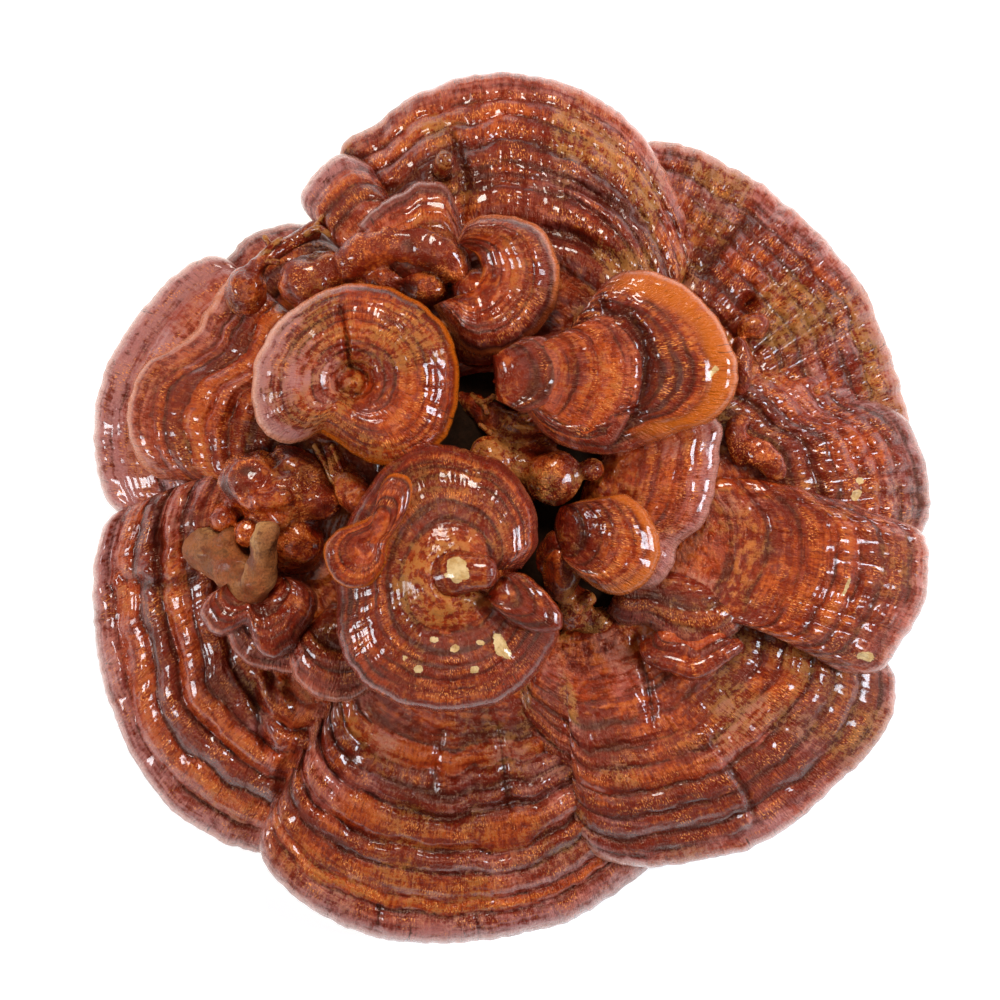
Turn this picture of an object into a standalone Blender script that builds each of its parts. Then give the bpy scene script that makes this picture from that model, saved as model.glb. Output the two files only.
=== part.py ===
"""A dried reishi rosette: one shared stem, cut off flat, that carries a whorl of overlapping caps.

Plan points and heights below are in millimetres, seen from above: +X to the right, +Y to the back and +Z up.
The origin is the middle of the flat cut under the stem. Every cap is a thin shell swept from a root line to a
margin line, and each later piece is cut back by the pieces that were there before it, as it grew against them.
"""

import math
from dataclasses import dataclass

import bmesh
import bpy
import numpy as np
from mathutils import Matrix, Vector

MM = 0.001
GAP = 0.35  # clearance between two pieces that touch, in mm
SHARPEST = 1.5  # how many times GAP a cutter's sharp edge may stand out, so that its flanks keep the clearance
STEM_LEVELS = ((0, 43), (7, 47), (20, 45), (34, 49), (46, 50), (53, 44), (57, 30))  # height, radius
STEM_SIDES = 20
STEM_LOBES = ((3, 2.4, 0.4), (5, 1.9, 1.7), (7, 1.1, 0.2))  # waves round the stem, size in mm, phase


@dataclass
class Cap:
    """A cap shell. root and margin run the same way round; heights are its middle surface, root to margin."""

    name: str
    material: str
    root: tuple
    margin: tuple
    heights: tuple
    sides: tuple = (0, 0)
    over: float = 6.0
    under: float = 5.0
    edge: float = 7.0
    grid: tuple = (6, 12)
    bow: tuple = (0, 0)
    whole: bool = False
    extras: tuple = ()


@dataclass
class Stalk:
    """A round stalk, finger or nub along a smooth path of (x, y, z, radius)."""

    path: tuple
    grid: tuple = (4, 7)


@dataclass
class Lump:
    """A swollen lobe: its centre and half sizes."""

    centre: tuple
    half: tuple
    turn: float = 0.0
    grid: tuple = (8, 5)


@dataclass
class Cluster:
    """Lobes and stalks that grew into one piece."""

    name: str
    material: str
    extras: tuple


BACK_CAPS = (
    Cap("left_back_cap", "bark_red",
        root=((-26, 36), (-36, 26)),
        margin=((-60, 97), (-70, 102), (-80, 102.5), (-88, 100.5), (-96, 96), (-101, 91), (-105, 82)),
        heights=(40, 37, 28, 11), sides=(0, -2), grid=(5, 7)),
    Cap("left_outer_cap", "bark_red",
        root=((-38, 24), (-43, 14), (-45, 2)),
        margin=((-96, 85), (-101, 90), (-108, 91), (-116, 87), (-125, 79), (-133, 70), (-140, 60), (-145, 50),
                (-148, 38), (-149, 25), (-147.5, 12), (-144, 3), (-137, -3), (-127, -6)),
        heights=(40, 39, 31, 13), sides=(1, -4)),
    Cap("upper_right_cap", "bark_red",
        root=((44, 8), (39, 22), (28, 35)),
        margin=((141, 16), (144.5, 28), (141, 40), (138, 51), (134, 63), (128, 77), (120, 89), (110, 100),
                (100, 109), (90, 117), (80, 122.5), (70, 128), (60, 131), (50, 132), (41, 126)),
        heights=(40, 38, 30, 12), sides=(-3, -2)),
)

OUTER_CAPS = (
    Cap("lower_left_cap", "lacquer_red",
        root=((-45, 8), (-45, -8), (-41, -24)),
        margin=((-135, 0.5), (-141, -1.5), (-146, -9), (-148.5, -20), (-149, -33), (-148, -46), (-145.5, -60),
                (-141, -74), (-135, -88), (-128, -99), (-119, -109), (-109, -116), (-98, -121), (-88, -123),
                (-78, -118)),
        heights=(46, 45, 38, 17), sides=(4, -10), bow=(11, 0)),
    Cap("right_cap", "lacquer_red",
        root=((45, -10), (46, 2), (44, 14), (40, 22)),
        margin=((142, -17), (148, -8), (150.5, 4), (149.5, 14), (146.5, 24), (141, 33), (134, 37.5), (127, 40),
                (119, 46), (111, 52), (103, 56), (95, 58.5), (84, 58.5)),
        heights=(45, 45, 39, 17), sides=(-6, 6)),
    Cap("bottom_cap", "lacquer_red",
        root=((-40, -26), (-28, -37), (-10, -43), (6, -44)),
        margin=((-86, -102), (-86, -108), (-89.5, -117), (-88, -124), (-83, -132), (-75, -139.5),
                (-65, -146), (-55, -150.5), (-45, -153.5), (-30, -155), (-18, -155), (-6, -153.5), (8, -151),
                (22, -147), (36, -139), (47, -131.5), (54, -124)),
        heights=(44, 41, 33, 13), sides=(8, -7), grid=(6, 13)),
    Cap("left_inner_cap", "lacquer_red",
        root=((-34, 32), (-41, 22), (-44, 8)),
        margin=((-96, 86), (-104, 77), (-109, 69), (-114, 61.5), (-122, 56.5), (-129, 52), (-134, 43),
                (-136, 33), (-134.5, 23), (-130.5, 15), (-125, 11), (-118, 10)),
        heights=(46, 49, 45, 30), over=5.5, under=4.5, edge=6),
    Cap("top_cap", "lacquer_red",
        root=((34, 30), (20, 42), (0, 47), (-18, 43), (-27, 36)),
        margin=((64, 85), (66.5, 94), (63, 104), (56, 119), (49, 131), (40, 140.5),
                (30, 147.5), (15, 153), (2, 155.5), (-12, 155), (-22, 152.5), (-32, 148.5), (-41, 143),
                (-50, 136), (-57, 133), (-61, 126), (-60, 116)),
        heights=(46, 47, 42, 21), sides=(5, 2), grid=(6, 13),
        extras=(Stalk(((-24, 117, 46, 3), (-23, 122, 52, 3.2), (-21, 125, 55, 2.8)), (4, 6)),)),
    Cap("lower_right_cap", "lacquer_red",
        root=((10, -43), (22, -41), (34, -36), (42, -27)),
        margin=((-4, -73), (0, -80), (2, -88), (8, -95), (17, -104), (24, -108), (23, -113), (26, -119.5),
                (32, -124), (41, -127), (52, -127.5), (65, -126), (76, -124), (86, -121), (96, -116),
                (107, -107), (117, -98), (127, -88.5), (135, -78), (138.5, -66), (137.5, -57.5), (127, -49)),
        heights=(46, 43, 37, 18), sides=(6, -6), grid=(6, 15)),
    Cap("right_lower_cap", "lacquer_red",
        root=((37, -36), (44, -24), (47, -8), (45, 10)),
        margin=((113, -55), (118, -57.5), (124, -58), (131, -57), (135, -53), (138, -47.5), (144, -40), (147.5, -30), (148.5, -18), (147, -9),
                (140, -4.5), (131, -1.5), (122, 2)),
        heights=(47, 49, 45, 24), sides=(8, 7), bow=(-7, 5), grid=(6, 15)),
)

INNER_CAPS = (
    Cap("top_left_lobe", "lacquer_red",
        root=((-30, 84), (-42, 72)),
        margin=((-47, 121), (-52, 124), (-59, 126), (-66, 122.5), (-71.5, 116), (-74.5, 109), (-70, 102)),
        heights=(46, 48, 44, 31), edge=6, grid=(5, 8)),
    Cap("dark_red_fan", "lacquer_red",
        root=((-18, 78), (-34, 74)),
        margin=((-15, 96), (-18.5, 106), (-22, 113), (-29, 115.5), (-38, 111.5), (-46, 106.5), (-54, 100)),
        heights=(52, 59, 61, 56), over=5, under=4, edge=5, grid=(4, 7)),
    Cap("middle_right_fan", "lacquer_red",
        root=((22, -8), (22, 4), (28, 18)),
        margin=((38, -26), (47, -28), (53, -26), (57, -20), (59, -13), (66, -7), (71, 2), (73, 12), (74, 22),
                (74, 30), (64, 36)),
        heights=(50, 60, 62, 58), edge=6, grid=(5, 9)),
    Cap("neck_fold", "lacquer_red",
        root=((40, -20), (56, -20), (68, -24)),
        margin=((33, -36), (38, -41), (49, -42), (57, -47), (66, -49), (76, -46.5), (83, -40)),
        heights=(50, 52, 53, 49), edge=5, grid=(4, 7)),
    Cap("curled_lip", "lacquer_red",
        root=((54, -40), (64, -38), (74, -40)),
        margin=((47, -45), (48, -51), (54, -54), (60, -56), (63.5, -59), (68, -57), (72, -53), (79, -48)),
        heights=(48, 51, 52, 50), over=4, under=4, edge=4, grid=(3, 7)),
    Cap("under_fan_left", "lacquer_red",
        root=((-82, -30), (-72, -34)),
        margin=((-100, -42), (-97, -49), (-92, -54), (-85, -56.5), (-77, -58), (-70, -57), (-64, -50)),
        heights=(50, 55, 57, 54), over=5, under=4, edge=5, grid=(4, 7)),
    Cap("under_fan_right", "lacquer_red",
        root=((-62, -32), (-50, -30)),
        margin=((-79, -50), (-75.5, -59), (-71, -63.5), (-65, -66.5), (-57, -67.5), (-50, -65), (-42, -58)),
        heights=(52, 60, 63, 58), over=5, under=4, edge=6, grid=(4, 7)),
)

LOBES = (
    Cluster("knobbly_lobes", "lacquer_red", (
        Lump((-78, 4, 54), (16, 15, 17), 0.3, (10, 6)),
        Lump((-90, 11, 56), (12, 10, 14), 0.5),
        Lump((-66, 3, 62), (8, 7.5, 9)),
        Lump((-75, -11, 57), (11, 12, 12), 0.4),
        Lump((-71, 14, 58), (13, 6, 9), -0.6),
        Lump((-99, -3, 54), (5.5, 6, 8)),
        Lump((-91, -8, 62), (4.5, 5, 6)),
    )),
    Cluster("finger_stalk", "stalk_brown", (
        Stalk(((-112, -13, 47, 7), (-103, -15, 54, 8.5), (-96, -20, 60, 8), (-90, -26, 66, 7), (-86, -23, 71, 6),
               (-85, -13, 75, 5.2), (-82, -3, 78, 4)), (8, 7)),
        Stalk(((-99, -17, 55, 6), (-97, -10, 61, 5), (-97, -5, 62, 3.5)), (3, 6)),
    )),
    Cluster("centre_lobes", "stalk_brown", (
        Lump((4, 14, 52), (18, 13, 14), 0.0, (10, 5)),
        Lump((-7, 18, 61), (8, 8, 8)),
        Lump((15, 11, 64), (10, 10, 8)),
        Lump((28, 14, 65), (4.5, 4, 5)),
        Lump((18, -20, 58), (7, 12, 12)),
        Stalk(((-18, 41, 50, 4), (-9, 34, 57, 5), (2, 29, 60, 5.5), (12, 30, 61, 5), (21, 24, 60, 4)), (5, 6)),
    )),
    Cluster("curled_fold", "lacquer_red", (
        Stalk(((-60, 82, 50, 6), (-53, 88, 57, 7), (-42, 92, 61, 7), (-30, 91, 63, 7), (-20, 86, 63, 6.5),
               (-16, 79, 60, 5.5)), (6, 7)),
        Lump((-30, 77, 57), (9, 6.5, 9), -0.2),
        Lump((-43, 80, 55), (8, 6, 8)),
        Lump((-38, 82, 48), (20, 12, 9)),
    )),
    Cluster("round_knob", "lacquer_red", (
        Lump((-92, 76.5, 44), (7.6, 9, 8)),
        Stalk(((-90, 82, 40, 4), (-88, 85, 46, 3.5), (-82, 90, 47, 3), (-77, 93, 45, 3), (-66, 99, 42, 4)), (6, 6)),
    )),
    Cluster("left_shoulder_lobe", "lacquer_red", (
        Lump((-71, 79, 51), (10, 10, 10), 0.4),
        Lump((-63, 84, 50), (9, 7, 9)),
    )),
    Cluster("right_knob", "lacquer_red", (
        Stalk(((80, 33, 48, 4), (79, 24, 52, 4.5), (81, 15, 50, 4)), (5, 7)),
        Stalk(((80, 24, 48, 3.5), (85, 21, 54, 5), (90, 17, 54, 5), (94.5, 11, 50, 3)), (5, 8)),
    )),
    Cluster("upper_right_knob", "lacquer_red", (
        Lump((85, 64, 40), (7, 5, 7), 0.2),
        Lump((80, 50, 48), (5, 11, 9)),
    )),
    Cluster("nub_stalk", "stalk_brown", (
        Stalk(((-58, 12, 54, 7), (-55, 7, 64, 6.5), (-51, 1, 72, 5.2)), (5, 8)),
        Stalk(((-64, 22, 54, 4), (-60, 13, 60, 5), (-56, 6, 60, 5)), (4, 7)),
    )),
)

TOP_CAPS = (
    Cap("double_fan", "lacquer_red",
        root=((-95, -24), (-88, -26), (-80, -23)),
        margin=((-101, -27), (-106, -31), (-108, -37), (-105, -42), (-100, -44.5), (-95, -43), (-91, -41.5),
                (-89, -46), (-86, -51), (-80, -52.5), (-74, -49), (-71, -44), (-67, -38), (-65.5, -31),
                (-69, -26), (-75, -23)),
        heights=(58, 64, 67, 63), over=5, under=4, edge=5, grid=(4, 11)),
    Cap("kidney_cap", "lacquer_red",
        root=((-18, 74), (-12, 78), (-10, 83), (-12, 88), (-17, 91)),
        margin=((-28, 70), (-22, 62), (-17, 55.5), (-11, 52.3), (-4, 52.3), (4, 55.8), (11, 61.5), (16, 69),
                (18.2, 78), (17, 87), (13.5, 95), (8, 99.8), (0, 102.3), (-8, 102.8), (-15, 100), (-18.5, 94)),
        heights=(66, 70, 73, 67), sides=(-6, 0), over=5, under=4, edge=6, grid=(5, 12),
        extras=(Stalk(((-13, 82, 68, 7), (-11, 70, 60, 9), (-10, 52, 48, 12)), (5, 8)),)),
    Cap("orange_rim_cap", "lacquer_orange",
        root=((7, 46),),
        margin=((4, 34), (11, 26), (22, 20), (36, 18.5), (47, 21.5), (55, 24.5), (61, 27), (70, 30), (76, 36),
                (79.5, 46), (77, 57), (71.5, 67), (64, 75.5), (55, 81), (46, 83.5), (38, 82.5), (32, 78),
                (28, 69), (19, 63), (8, 60), (-1, 55), (-4, 47), (-2, 39)),
        heights=(68, 71, 75, 69), edge=6, grid=(5, 15), whole=True,
        extras=(Stalk(((6, 46, 62, 9), (8, 40, 54, 11), (8, 34, 46, 13)), (4, 8)),)),
    Cap("round_cap", "lacquer_red",
        root=((-54, 45),),
        margin=((-16.5, 42), (-17, 52), (-20, 61), (-26, 68.5), (-34, 74.5), (-45, 78.5), (-57, 78.5),
                (-67, 75.5), (-76, 69.5), (-83, 62), (-88, 53), (-90, 43), (-89, 33), (-85, 26), (-79, 22.5),
                (-72, 23), (-66, 25.5), (-61, 23), (-55, 19), (-48, 15), (-40, 14), (-32, 16), (-24, 21),
                (-19, 30)),
        heights=(76, 80, 81, 74), over=5, under=5, edge=6, grid=(5, 15), whole=True,
        extras=(Stalk(((-53, 43, 76, 9), (-46, 36, 62, 11), (-34, 26, 46, 14)), (5, 10)),)),
    Cap("small_orange_cap", "lacquer_orange",
        root=((17, -14), (15, -9), (15, -4), (17, 1)),
        margin=((19.5, -19), (25, -24), (30, -27.5), (37, -30), (44, -28), (50, -22.5), (52.5, -14),
                (51, -5), (46.5, 2), (40, 5.8), (33, 5), (26, 4)),
        heights=(64, 71, 75, 71), over=5, under=4, edge=5, grid=(4, 10),
        extras=(Stalk(((20, -9, 68, 5), (17, -13, 62, 6), (14, -20, 52, 8)), (4, 8)),)),
    Cap("front_cap", "lacquer_red",
        root=((-15, -21), (-18, -18), (-23, -20), (-22, -26), (-16, -25)),
        margin=((5, -20), (9.5, -13), (10.5, -5), (8.5, 3), (3.5, 11.5), (-3, 17.5), (-12, 21), (-22, 23.5),
                (-31, 23.5), (-39, 20), (-46, 13), (-53, 3), (-58, -8), (-60, -20), (-60.5, -32), (-60, -43),
                (-56.5, -53), (-50, -61), (-41, -66.5), (-30, -69.5), (-20, -70.5), (-9, -69), (1, -64.5),
                (9, -58), (14.5, -50), (18, -42), (17, -36)),
        heights=(84, 86, 86, 79), sides=(-2, -3), edge=6, grid=(5, 18),
        extras=(Stalk(((-24, -26, 82, 12), (-20, -21, 93, 10.5), (-13, -19.5, 99, 8.5), (-7, -20, 98, 5.5)), (5, 9)),
                Stalk(((-20, -25, 82, 11), (-14, -20, 66, 12), (-6, -12, 50, 15)), (5, 10)))),
    Cap("little_cap", "lacquer_red",
        root=((-8, -29), (-6.5, -26), (-4, -23)),
        margin=((-7, -32), (-1, -38), (6, -41.5), (13, -42.5), (18.5, -41), (18.5, -36), (15, -30), (10, -25),
                (5, -21), (0, -20.5)),
        heights=(89, 93, 93, 90), over=4, under=3.5, edge=4, grid=(3, 8)),
    Cap("curled_flap", "lacquer_orange",
        root=((-48, -11),),
        margin=((-35, -2), (-32.5, 5), (-34, 12), (-40, 13.5), (-44, 9), (-46, 1), (-53, -3.5), (-60, -6.5),
                (-64, -12), (-64, -18), (-60, -25), (-53, -28), (-46, -25.5), (-42, -20), (-40, -11)),
        heights=(92, 93, 93, 91), over=4, under=3.5, edge=4, grid=(4, 13), whole=True),
)

FINISHES = {
    "lacquer_red": ((0.235, 0.052, 0.018, 1), 0.28),
    "lacquer_orange": ((0.42, 0.125, 0.022, 1), 0.3),
    "bark_red": ((0.21, 0.06, 0.03, 1), 0.35),
    "stalk_brown": ((0.26, 0.12, 0.05, 1), 0.6),
    "stem_dark": ((0.09, 0.05, 0.03, 1), 0.75),
}


def clear_scene():
    for obj in list(bpy.data.objects):
        bpy.data.objects.remove(obj)


def material(name):
    if name in bpy.data.materials:
        return bpy.data.materials[name]
    colour, roughness = FINISHES[name]
    made = bpy.data.materials.new(name)
    made.use_nodes = True
    shader = made.node_tree.nodes["Principled BSDF"]
    shader.inputs["Base Color"].default_value = colour
    shader.inputs["Roughness"].default_value = roughness
    shader.inputs["Metallic"].default_value = 0.0
    return made


def spread(count, crowd=0.45):
    """count + 1 shares from 0 to 1 that crowd a little towards both ends, where an edge is rounded."""
    even = np.arange(count + 1) / count
    return crowd * (0.5 - 0.5 * np.cos(np.pi * even)) + (1 - crowd) * even


def outward(count, crowd=0.65):
    """count + 1 shares from 0 to 1 that crowd towards 1, the rounded margin."""
    even = np.arange(count + 1) / count
    return crowd * np.sin(0.5 * np.pi * even) + (1 - crowd) * even


def along(points, shares, even=False, ring=False):
    """A smooth curve through points, read at shares of its length, or of its number of spans if even."""
    points = np.array(points, float).reshape(len(points), -1)
    if ring:
        points = np.concatenate([points[-2:], points, points[:3]])
    knots = np.arange(len(points), dtype=float)
    if not even:
        knots = np.concatenate([[0.0], np.cumsum(np.linalg.norm(np.diff(points, axis=0), axis=1))])
    start, stop = (knots[2], knots[-3]) if ring else (knots[0], knots[-1])
    at = start + np.asarray(shares) * (stop - start)
    slopes = np.gradient(points, knots, axis=0)
    span = np.clip(np.searchsorted(knots, at, side="right") - 1, 0, len(knots) - 2)
    width = (knots[span + 1] - knots[span])[:, None]
    x = ((at - knots[span]) / width[:, 0])[:, None]
    return (
        (2 * x**3 - 3 * x**2 + 1) * points[span]
        + (x**3 - 2 * x**2 + x) * width * slopes[span]
        + (3 * x**2 - 2 * x**3) * points[span + 1]
        + (x**3 - x**2) * width * slopes[span + 1]
    )


def rounding(distance, edge):
    """How full the shell is this far from its edge: a quarter circle that is full at edge."""
    x = np.clip(distance / edge, 0, 1)
    return np.sqrt(1 - (1 - x) ** 2)


def shell_surfaces(cap):
    """Top and bottom surface of a cap as grids of points, rows from root to margin."""
    rows, columns = cap.grid
    t = outward(rows)[:, None]
    u = np.arange(columns) / columns if cap.whole else spread(columns)
    margin = along(cap.margin, u, ring=cap.whole)
    root = np.repeat([cap.root[0]], len(u), axis=0) if cap.whole else along(cap.root, u)
    plan = root + (margin - root) * t[:, :, None]
    if any(cap.bow):
        reach = margin - root
        sideways = np.stack([-reach[:, 1], reach[:, 0]], axis=1) / np.linalg.norm(reach, axis=1)[:, None]
        push = cap.bow[1] * u**2 - cap.bow[0] * (1 - u) ** 2
        plan += (np.sin(np.pi * t) * push)[:, :, None] * sideways
    length = np.linalg.norm(margin - root, axis=1)
    full = rounding((1 - t) * length, cap.edge)
    middle = along(cap.heights, t[:, 0], even=True) * np.ones(len(u))
    if not cap.whole:
        steps = np.linalg.norm(np.diff(plan, axis=1), axis=2)
        across = np.concatenate([np.zeros((rows + 1, 1)), np.cumsum(steps, axis=1)], axis=1)
        full = full * rounding(t * length, cap.edge)
        full = full * rounding(across, cap.edge) * rounding(across[:, -1:] - across, cap.edge)
        middle = middle + t * (cap.sides[0] * (1 - u) ** 2 + cap.sides[1] * u**2)
    top = np.dstack([plan, middle + cap.over * full])
    bottom = np.dstack([plan, middle - cap.under * full])
    return top, bottom


def shell_mesh(cap):
    """Points and faces of the closed shell between a cap's two surfaces, which share their outer edge."""
    top, bottom = shell_surfaces(cap)
    rows, columns = top.shape[:2]
    upper = np.arange(rows * columns).reshape(rows, columns)
    lower = upper + rows * columns
    lower[-1] = upper[-1]
    if cap.whole:
        upper[0] = upper[0, 0]
        lower[0] = lower[0, 0]
    else:
        lower[0], lower[:, 0], lower[:, -1] = upper[0], upper[:, 0], upper[:, -1]
    points = np.concatenate([top.reshape(-1, 3), bottom.reshape(-1, 3)])
    faces = []
    for i in range(rows - 1):
        for j in range(columns if cap.whole else columns - 1):
            k = (j + 1) % columns
            faces.append([upper[i, j], upper[i + 1, j], upper[i + 1, k], upper[i, k]])
            faces.append([lower[i, k], lower[i + 1, k], lower[i + 1, j], lower[i, j]])
    return points, faces


def stalk_mesh(stalk):
    """Points and faces of a round stalk with rounded ends."""
    rings, sides = stalk.grid
    line = along(stalk.path, spread(rings, 0.7))
    centres, radii = line[:, :3], line[:, 3]
    across = Vector((0, 0, 1)).cross(Vector(centres[1] - centres[0]))
    if across.length < 1e-6:
        across = Vector((1, 0, 0))
    points = []
    for i, centre in enumerate(centres):
        heading = Vector(centres[min(i + 1, rings)] - centres[max(i - 1, 0)]).normalized()
        across = (across - heading * across.dot(heading)).normalized()
        other = heading.cross(across)
        radius = float(radii[i]) * (0.45 if i in (0, rings) else 1.0)
        for k in range(sides):
            angle = 2 * math.pi * k / sides
            points.append(Vector(centre) + radius * (math.cos(angle) * across + math.sin(angle) * other))
    faces = [list(range(sides))[::-1], [rings * sides + k for k in range(sides)]]
    for i in range(rings):
        for k in range(sides):
            n = (k + 1) % sides
            faces.append([i * sides + k, i * sides + n, (i + 1) * sides + n, (i + 1) * sides + k])
    return points, faces


def stem_mesh():
    """Points and faces of the shared stem: wavy rings from the flat cut to a blunt top."""
    points = []
    for height, radius in STEM_LEVELS:
        for k in range(STEM_SIDES):
            angle = 2 * math.pi * k / STEM_SIDES
            wave = sum(size * math.cos(n * angle + phase) for n, size, phase in STEM_LOBES)
            points.append(((radius + wave) * math.cos(angle), (radius + wave) * math.sin(angle), height))
    last = (len(STEM_LEVELS) - 1) * STEM_SIDES
    faces = [list(range(STEM_SIDES))[::-1], [last + k for k in range(STEM_SIDES)]]
    for i in range(len(STEM_LEVELS) - 1):
        for k in range(STEM_SIDES):
            n = (k + 1) % STEM_SIDES
            low, high = i * STEM_SIDES, (i + 1) * STEM_SIDES
            faces.append([low + k, low + n, high + n, high + k])
    return points, faces


def object_of(name, points, faces):
    """A closed mesh object in metres from points in millimetres, with its faces pointing out."""
    built = bmesh.new()
    corners = [built.verts.new(Vector(p) * MM) for p in points]
    for face in faces:
        ring = list(dict.fromkeys(face))
        if len(ring) > 2:
            built.faces.new([corners[k] for k in ring])
    bmesh.ops.delete(built, geom=[v for v in built.verts if not v.link_faces], context="VERTS")
    bmesh.ops.recalc_face_normals(built, faces=built.faces)
    if built.calc_volume(signed=True) < 0:
        bmesh.ops.reverse_faces(built, faces=built.faces)
    bmesh.ops.triangulate(built, faces=built.faces)
    mesh = bpy.data.meshes.new(name)
    built.to_mesh(mesh)
    built.free()
    obj = bpy.data.objects.new(name, mesh)
    bpy.context.scene.collection.objects.link(obj)
    return obj


def lump_object(name, lump):
    """A swollen lobe as a stretched sphere."""
    built = bmesh.new()
    bmesh.ops.create_uvsphere(built, u_segments=lump.grid[0], v_segments=lump.grid[1], radius=1.0)
    place = Matrix.Translation(Vector(lump.centre) * MM) @ Matrix.Rotation(lump.turn, 4, "Z")
    bmesh.ops.transform(built, matrix=place @ Matrix.Diagonal((*(h * MM for h in lump.half), 1)), verts=built.verts)
    mesh = bpy.data.meshes.new(name)
    built.to_mesh(mesh)
    built.free()
    obj = bpy.data.objects.new(name, mesh)
    bpy.context.scene.collection.objects.link(obj)
    return obj


def growth_object(name, growth):
    if isinstance(growth, Lump):
        return lump_object(name, growth)
    if isinstance(growth, Stalk):
        return object_of(name, *stalk_mesh(growth))
    return object_of(name, *shell_mesh(growth))


def swollen_copy(obj):
    """A copy that stands GAP proud of obj all over, to cut its neighbours back with."""
    copy = obj.copy()
    copy.data = obj.data.copy()
    copy.name = obj.name + "_cutter"
    bpy.context.scene.collection.objects.link(copy)
    built = bmesh.new()
    built.from_mesh(copy.data)
    moves = [v.normal * GAP * MM * min(v.calc_shell_factor(), SHARPEST) for v in built.verts]
    for vertex, move in zip(built.verts, moves):
        vertex.co += move
    built.to_mesh(copy.data)
    built.free()
    copy.hide_render = True
    copy.display_type = "WIRE"
    return copy


def reach_of(obj):
    """Lowest and highest corner of an object's mesh."""
    points = np.array([v.co for v in obj.data.vertices])
    return points.min(axis=0), points.max(axis=0)


def near(obj, other):
    low, high = reach_of(obj)
    other_low, other_high = reach_of(other)
    return bool((low < other_high).all() and (other_low < high).all())


def boolean(obj, others, operation):
    """One exact Boolean with all the others at once, applied."""
    group = bpy.data.collections.new("others")
    for other in others:
        group.objects.link(other)
    step = obj.modifiers.new(operation.lower(), "BOOLEAN")
    step.operation = operation
    step.solver = "EXACT"
    step.operand_type = "COLLECTION"
    step.collection = group
    shape = obj.evaluated_get(bpy.context.evaluated_depsgraph_get())
    mesh = bpy.data.meshes.new_from_object(shape)
    obj.modifiers.clear()
    obj.data = mesh
    bpy.data.collections.remove(group)


def keep_largest_body(obj):
    """Removes the offcuts that a neighbour parted from the piece."""
    built = bmesh.new()
    built.from_mesh(obj.data)
    left, bodies = set(built.faces), []
    while left:
        queue, body = [left.pop()], set()
        while queue:
            face = queue.pop()
            body.add(face)
            for edge in face.edges:
                found = left.intersection(edge.link_faces)
                left -= found
                queue.extend(found)
        bodies.append(body)
    bodies.sort(key=lambda body: sum(face.calc_area() for face in body))
    for body in bodies[:-1]:
        bmesh.ops.delete(built, geom=list(body), context="FACES")
    bmesh.ops.triangulate(built, faces=built.faces)
    built.to_mesh(obj.data)
    built.free()


def finish(obj, finish_name):
    obj.data.materials.clear()
    obj.data.materials.append(material(finish_name))
    obj.data.shade_smooth()
    obj.data.set_sharp_from_angle(angle=math.radians(50))


def grow_piece(name, finish_name, growths, cutters):
    """One named piece: its growths joined, then cut back by everything that grew before it."""
    made = [growth_object(name if k == 0 else f"{name}_growth_{k}", g) for k, g in enumerate(growths)]
    own_cutters = [swollen_copy(obj) for obj in made]
    piece, extras = made[0], made[1:]
    if extras:
        boolean(piece, extras, "UNION")
    for extra in extras:
        bpy.data.objects.remove(extra)
    boolean(piece, [cutter for cutter in cutters if near(piece, cutter)], "DIFFERENCE")
    keep_largest_body(piece)
    finish(piece, finish_name)
    return own_cutters


def main():
    clear_scene()
    stem = object_of("stem_base", *stem_mesh())
    finish(stem, "stem_dark")
    cutters = [swollen_copy(stem)]
    for growth in (*BACK_CAPS, *OUTER_CAPS, *INNER_CAPS, *LOBES, *TOP_CAPS):
        own = growth.extras if isinstance(growth, Cluster) else (growth, *growth.extras)
        cutters += grow_piece(growth.name, growth.material, own, cutters)
    for cutter in cutters:
        bpy.data.objects.remove(cutter)


main()
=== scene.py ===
"""The finish of a dried reishi rosette: ringed lacquered caps, knobbly lobes and stalks round one cut stem.

Plan points, heights and widths are in millimetres in the part's own frame: +X right, +Y back, +Z up, with the origin
in the middle of the flat cut. Each cap is swept from a root line to a margin line, then carved with its growth rings,
creases, swellings and wrinkles.
"""

import math
from dataclasses import dataclass

import bmesh
import bpy
import numpy as np
from bpy.props import FloatProperty, FloatVectorProperty, PointerProperty
from mathutils import Matrix, Vector


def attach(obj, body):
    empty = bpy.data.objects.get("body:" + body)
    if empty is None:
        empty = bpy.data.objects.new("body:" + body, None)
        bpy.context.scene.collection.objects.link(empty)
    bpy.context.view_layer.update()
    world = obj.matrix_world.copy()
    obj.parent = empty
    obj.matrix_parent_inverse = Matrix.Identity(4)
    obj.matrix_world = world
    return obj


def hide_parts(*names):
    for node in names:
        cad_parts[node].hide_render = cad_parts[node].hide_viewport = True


bl_info = {
    "name": "Reishi Rosette",
    "version": (1, 0, 0),
    "blender": (4, 5, 0),
    "location": "3D View > Sidebar > Reishi",
    "description": "Grows a ringed, lacquered reishi rosette on its packed frame",
    "category": "Add Mesh",
}

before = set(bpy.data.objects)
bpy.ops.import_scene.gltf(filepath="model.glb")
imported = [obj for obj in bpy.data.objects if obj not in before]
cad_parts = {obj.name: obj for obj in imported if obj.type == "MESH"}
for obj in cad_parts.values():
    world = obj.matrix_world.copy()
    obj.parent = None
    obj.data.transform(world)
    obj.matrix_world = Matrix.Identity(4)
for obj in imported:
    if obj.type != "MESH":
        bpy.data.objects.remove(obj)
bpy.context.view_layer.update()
MM = 0.001

# ------------------------------------------------------------------ growth plan


@dataclass
class Stalk:
    """A round stalk, finger or nub along a smooth path of (x, y, z, radius), with chips of (x, y, z, radius)."""

    path: tuple
    chips: tuple = ()


@dataclass
class Lump:
    """A swollen lobe: centre, half sizes and turn about +Z."""

    centre: tuple
    half: tuple
    turn: float = 0.0


@dataclass
class Crease:
    """A line pressed into (depth > 0) or raised out of (depth < 0) a cap's skin."""

    line: tuple
    width: float
    depth: float


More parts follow.
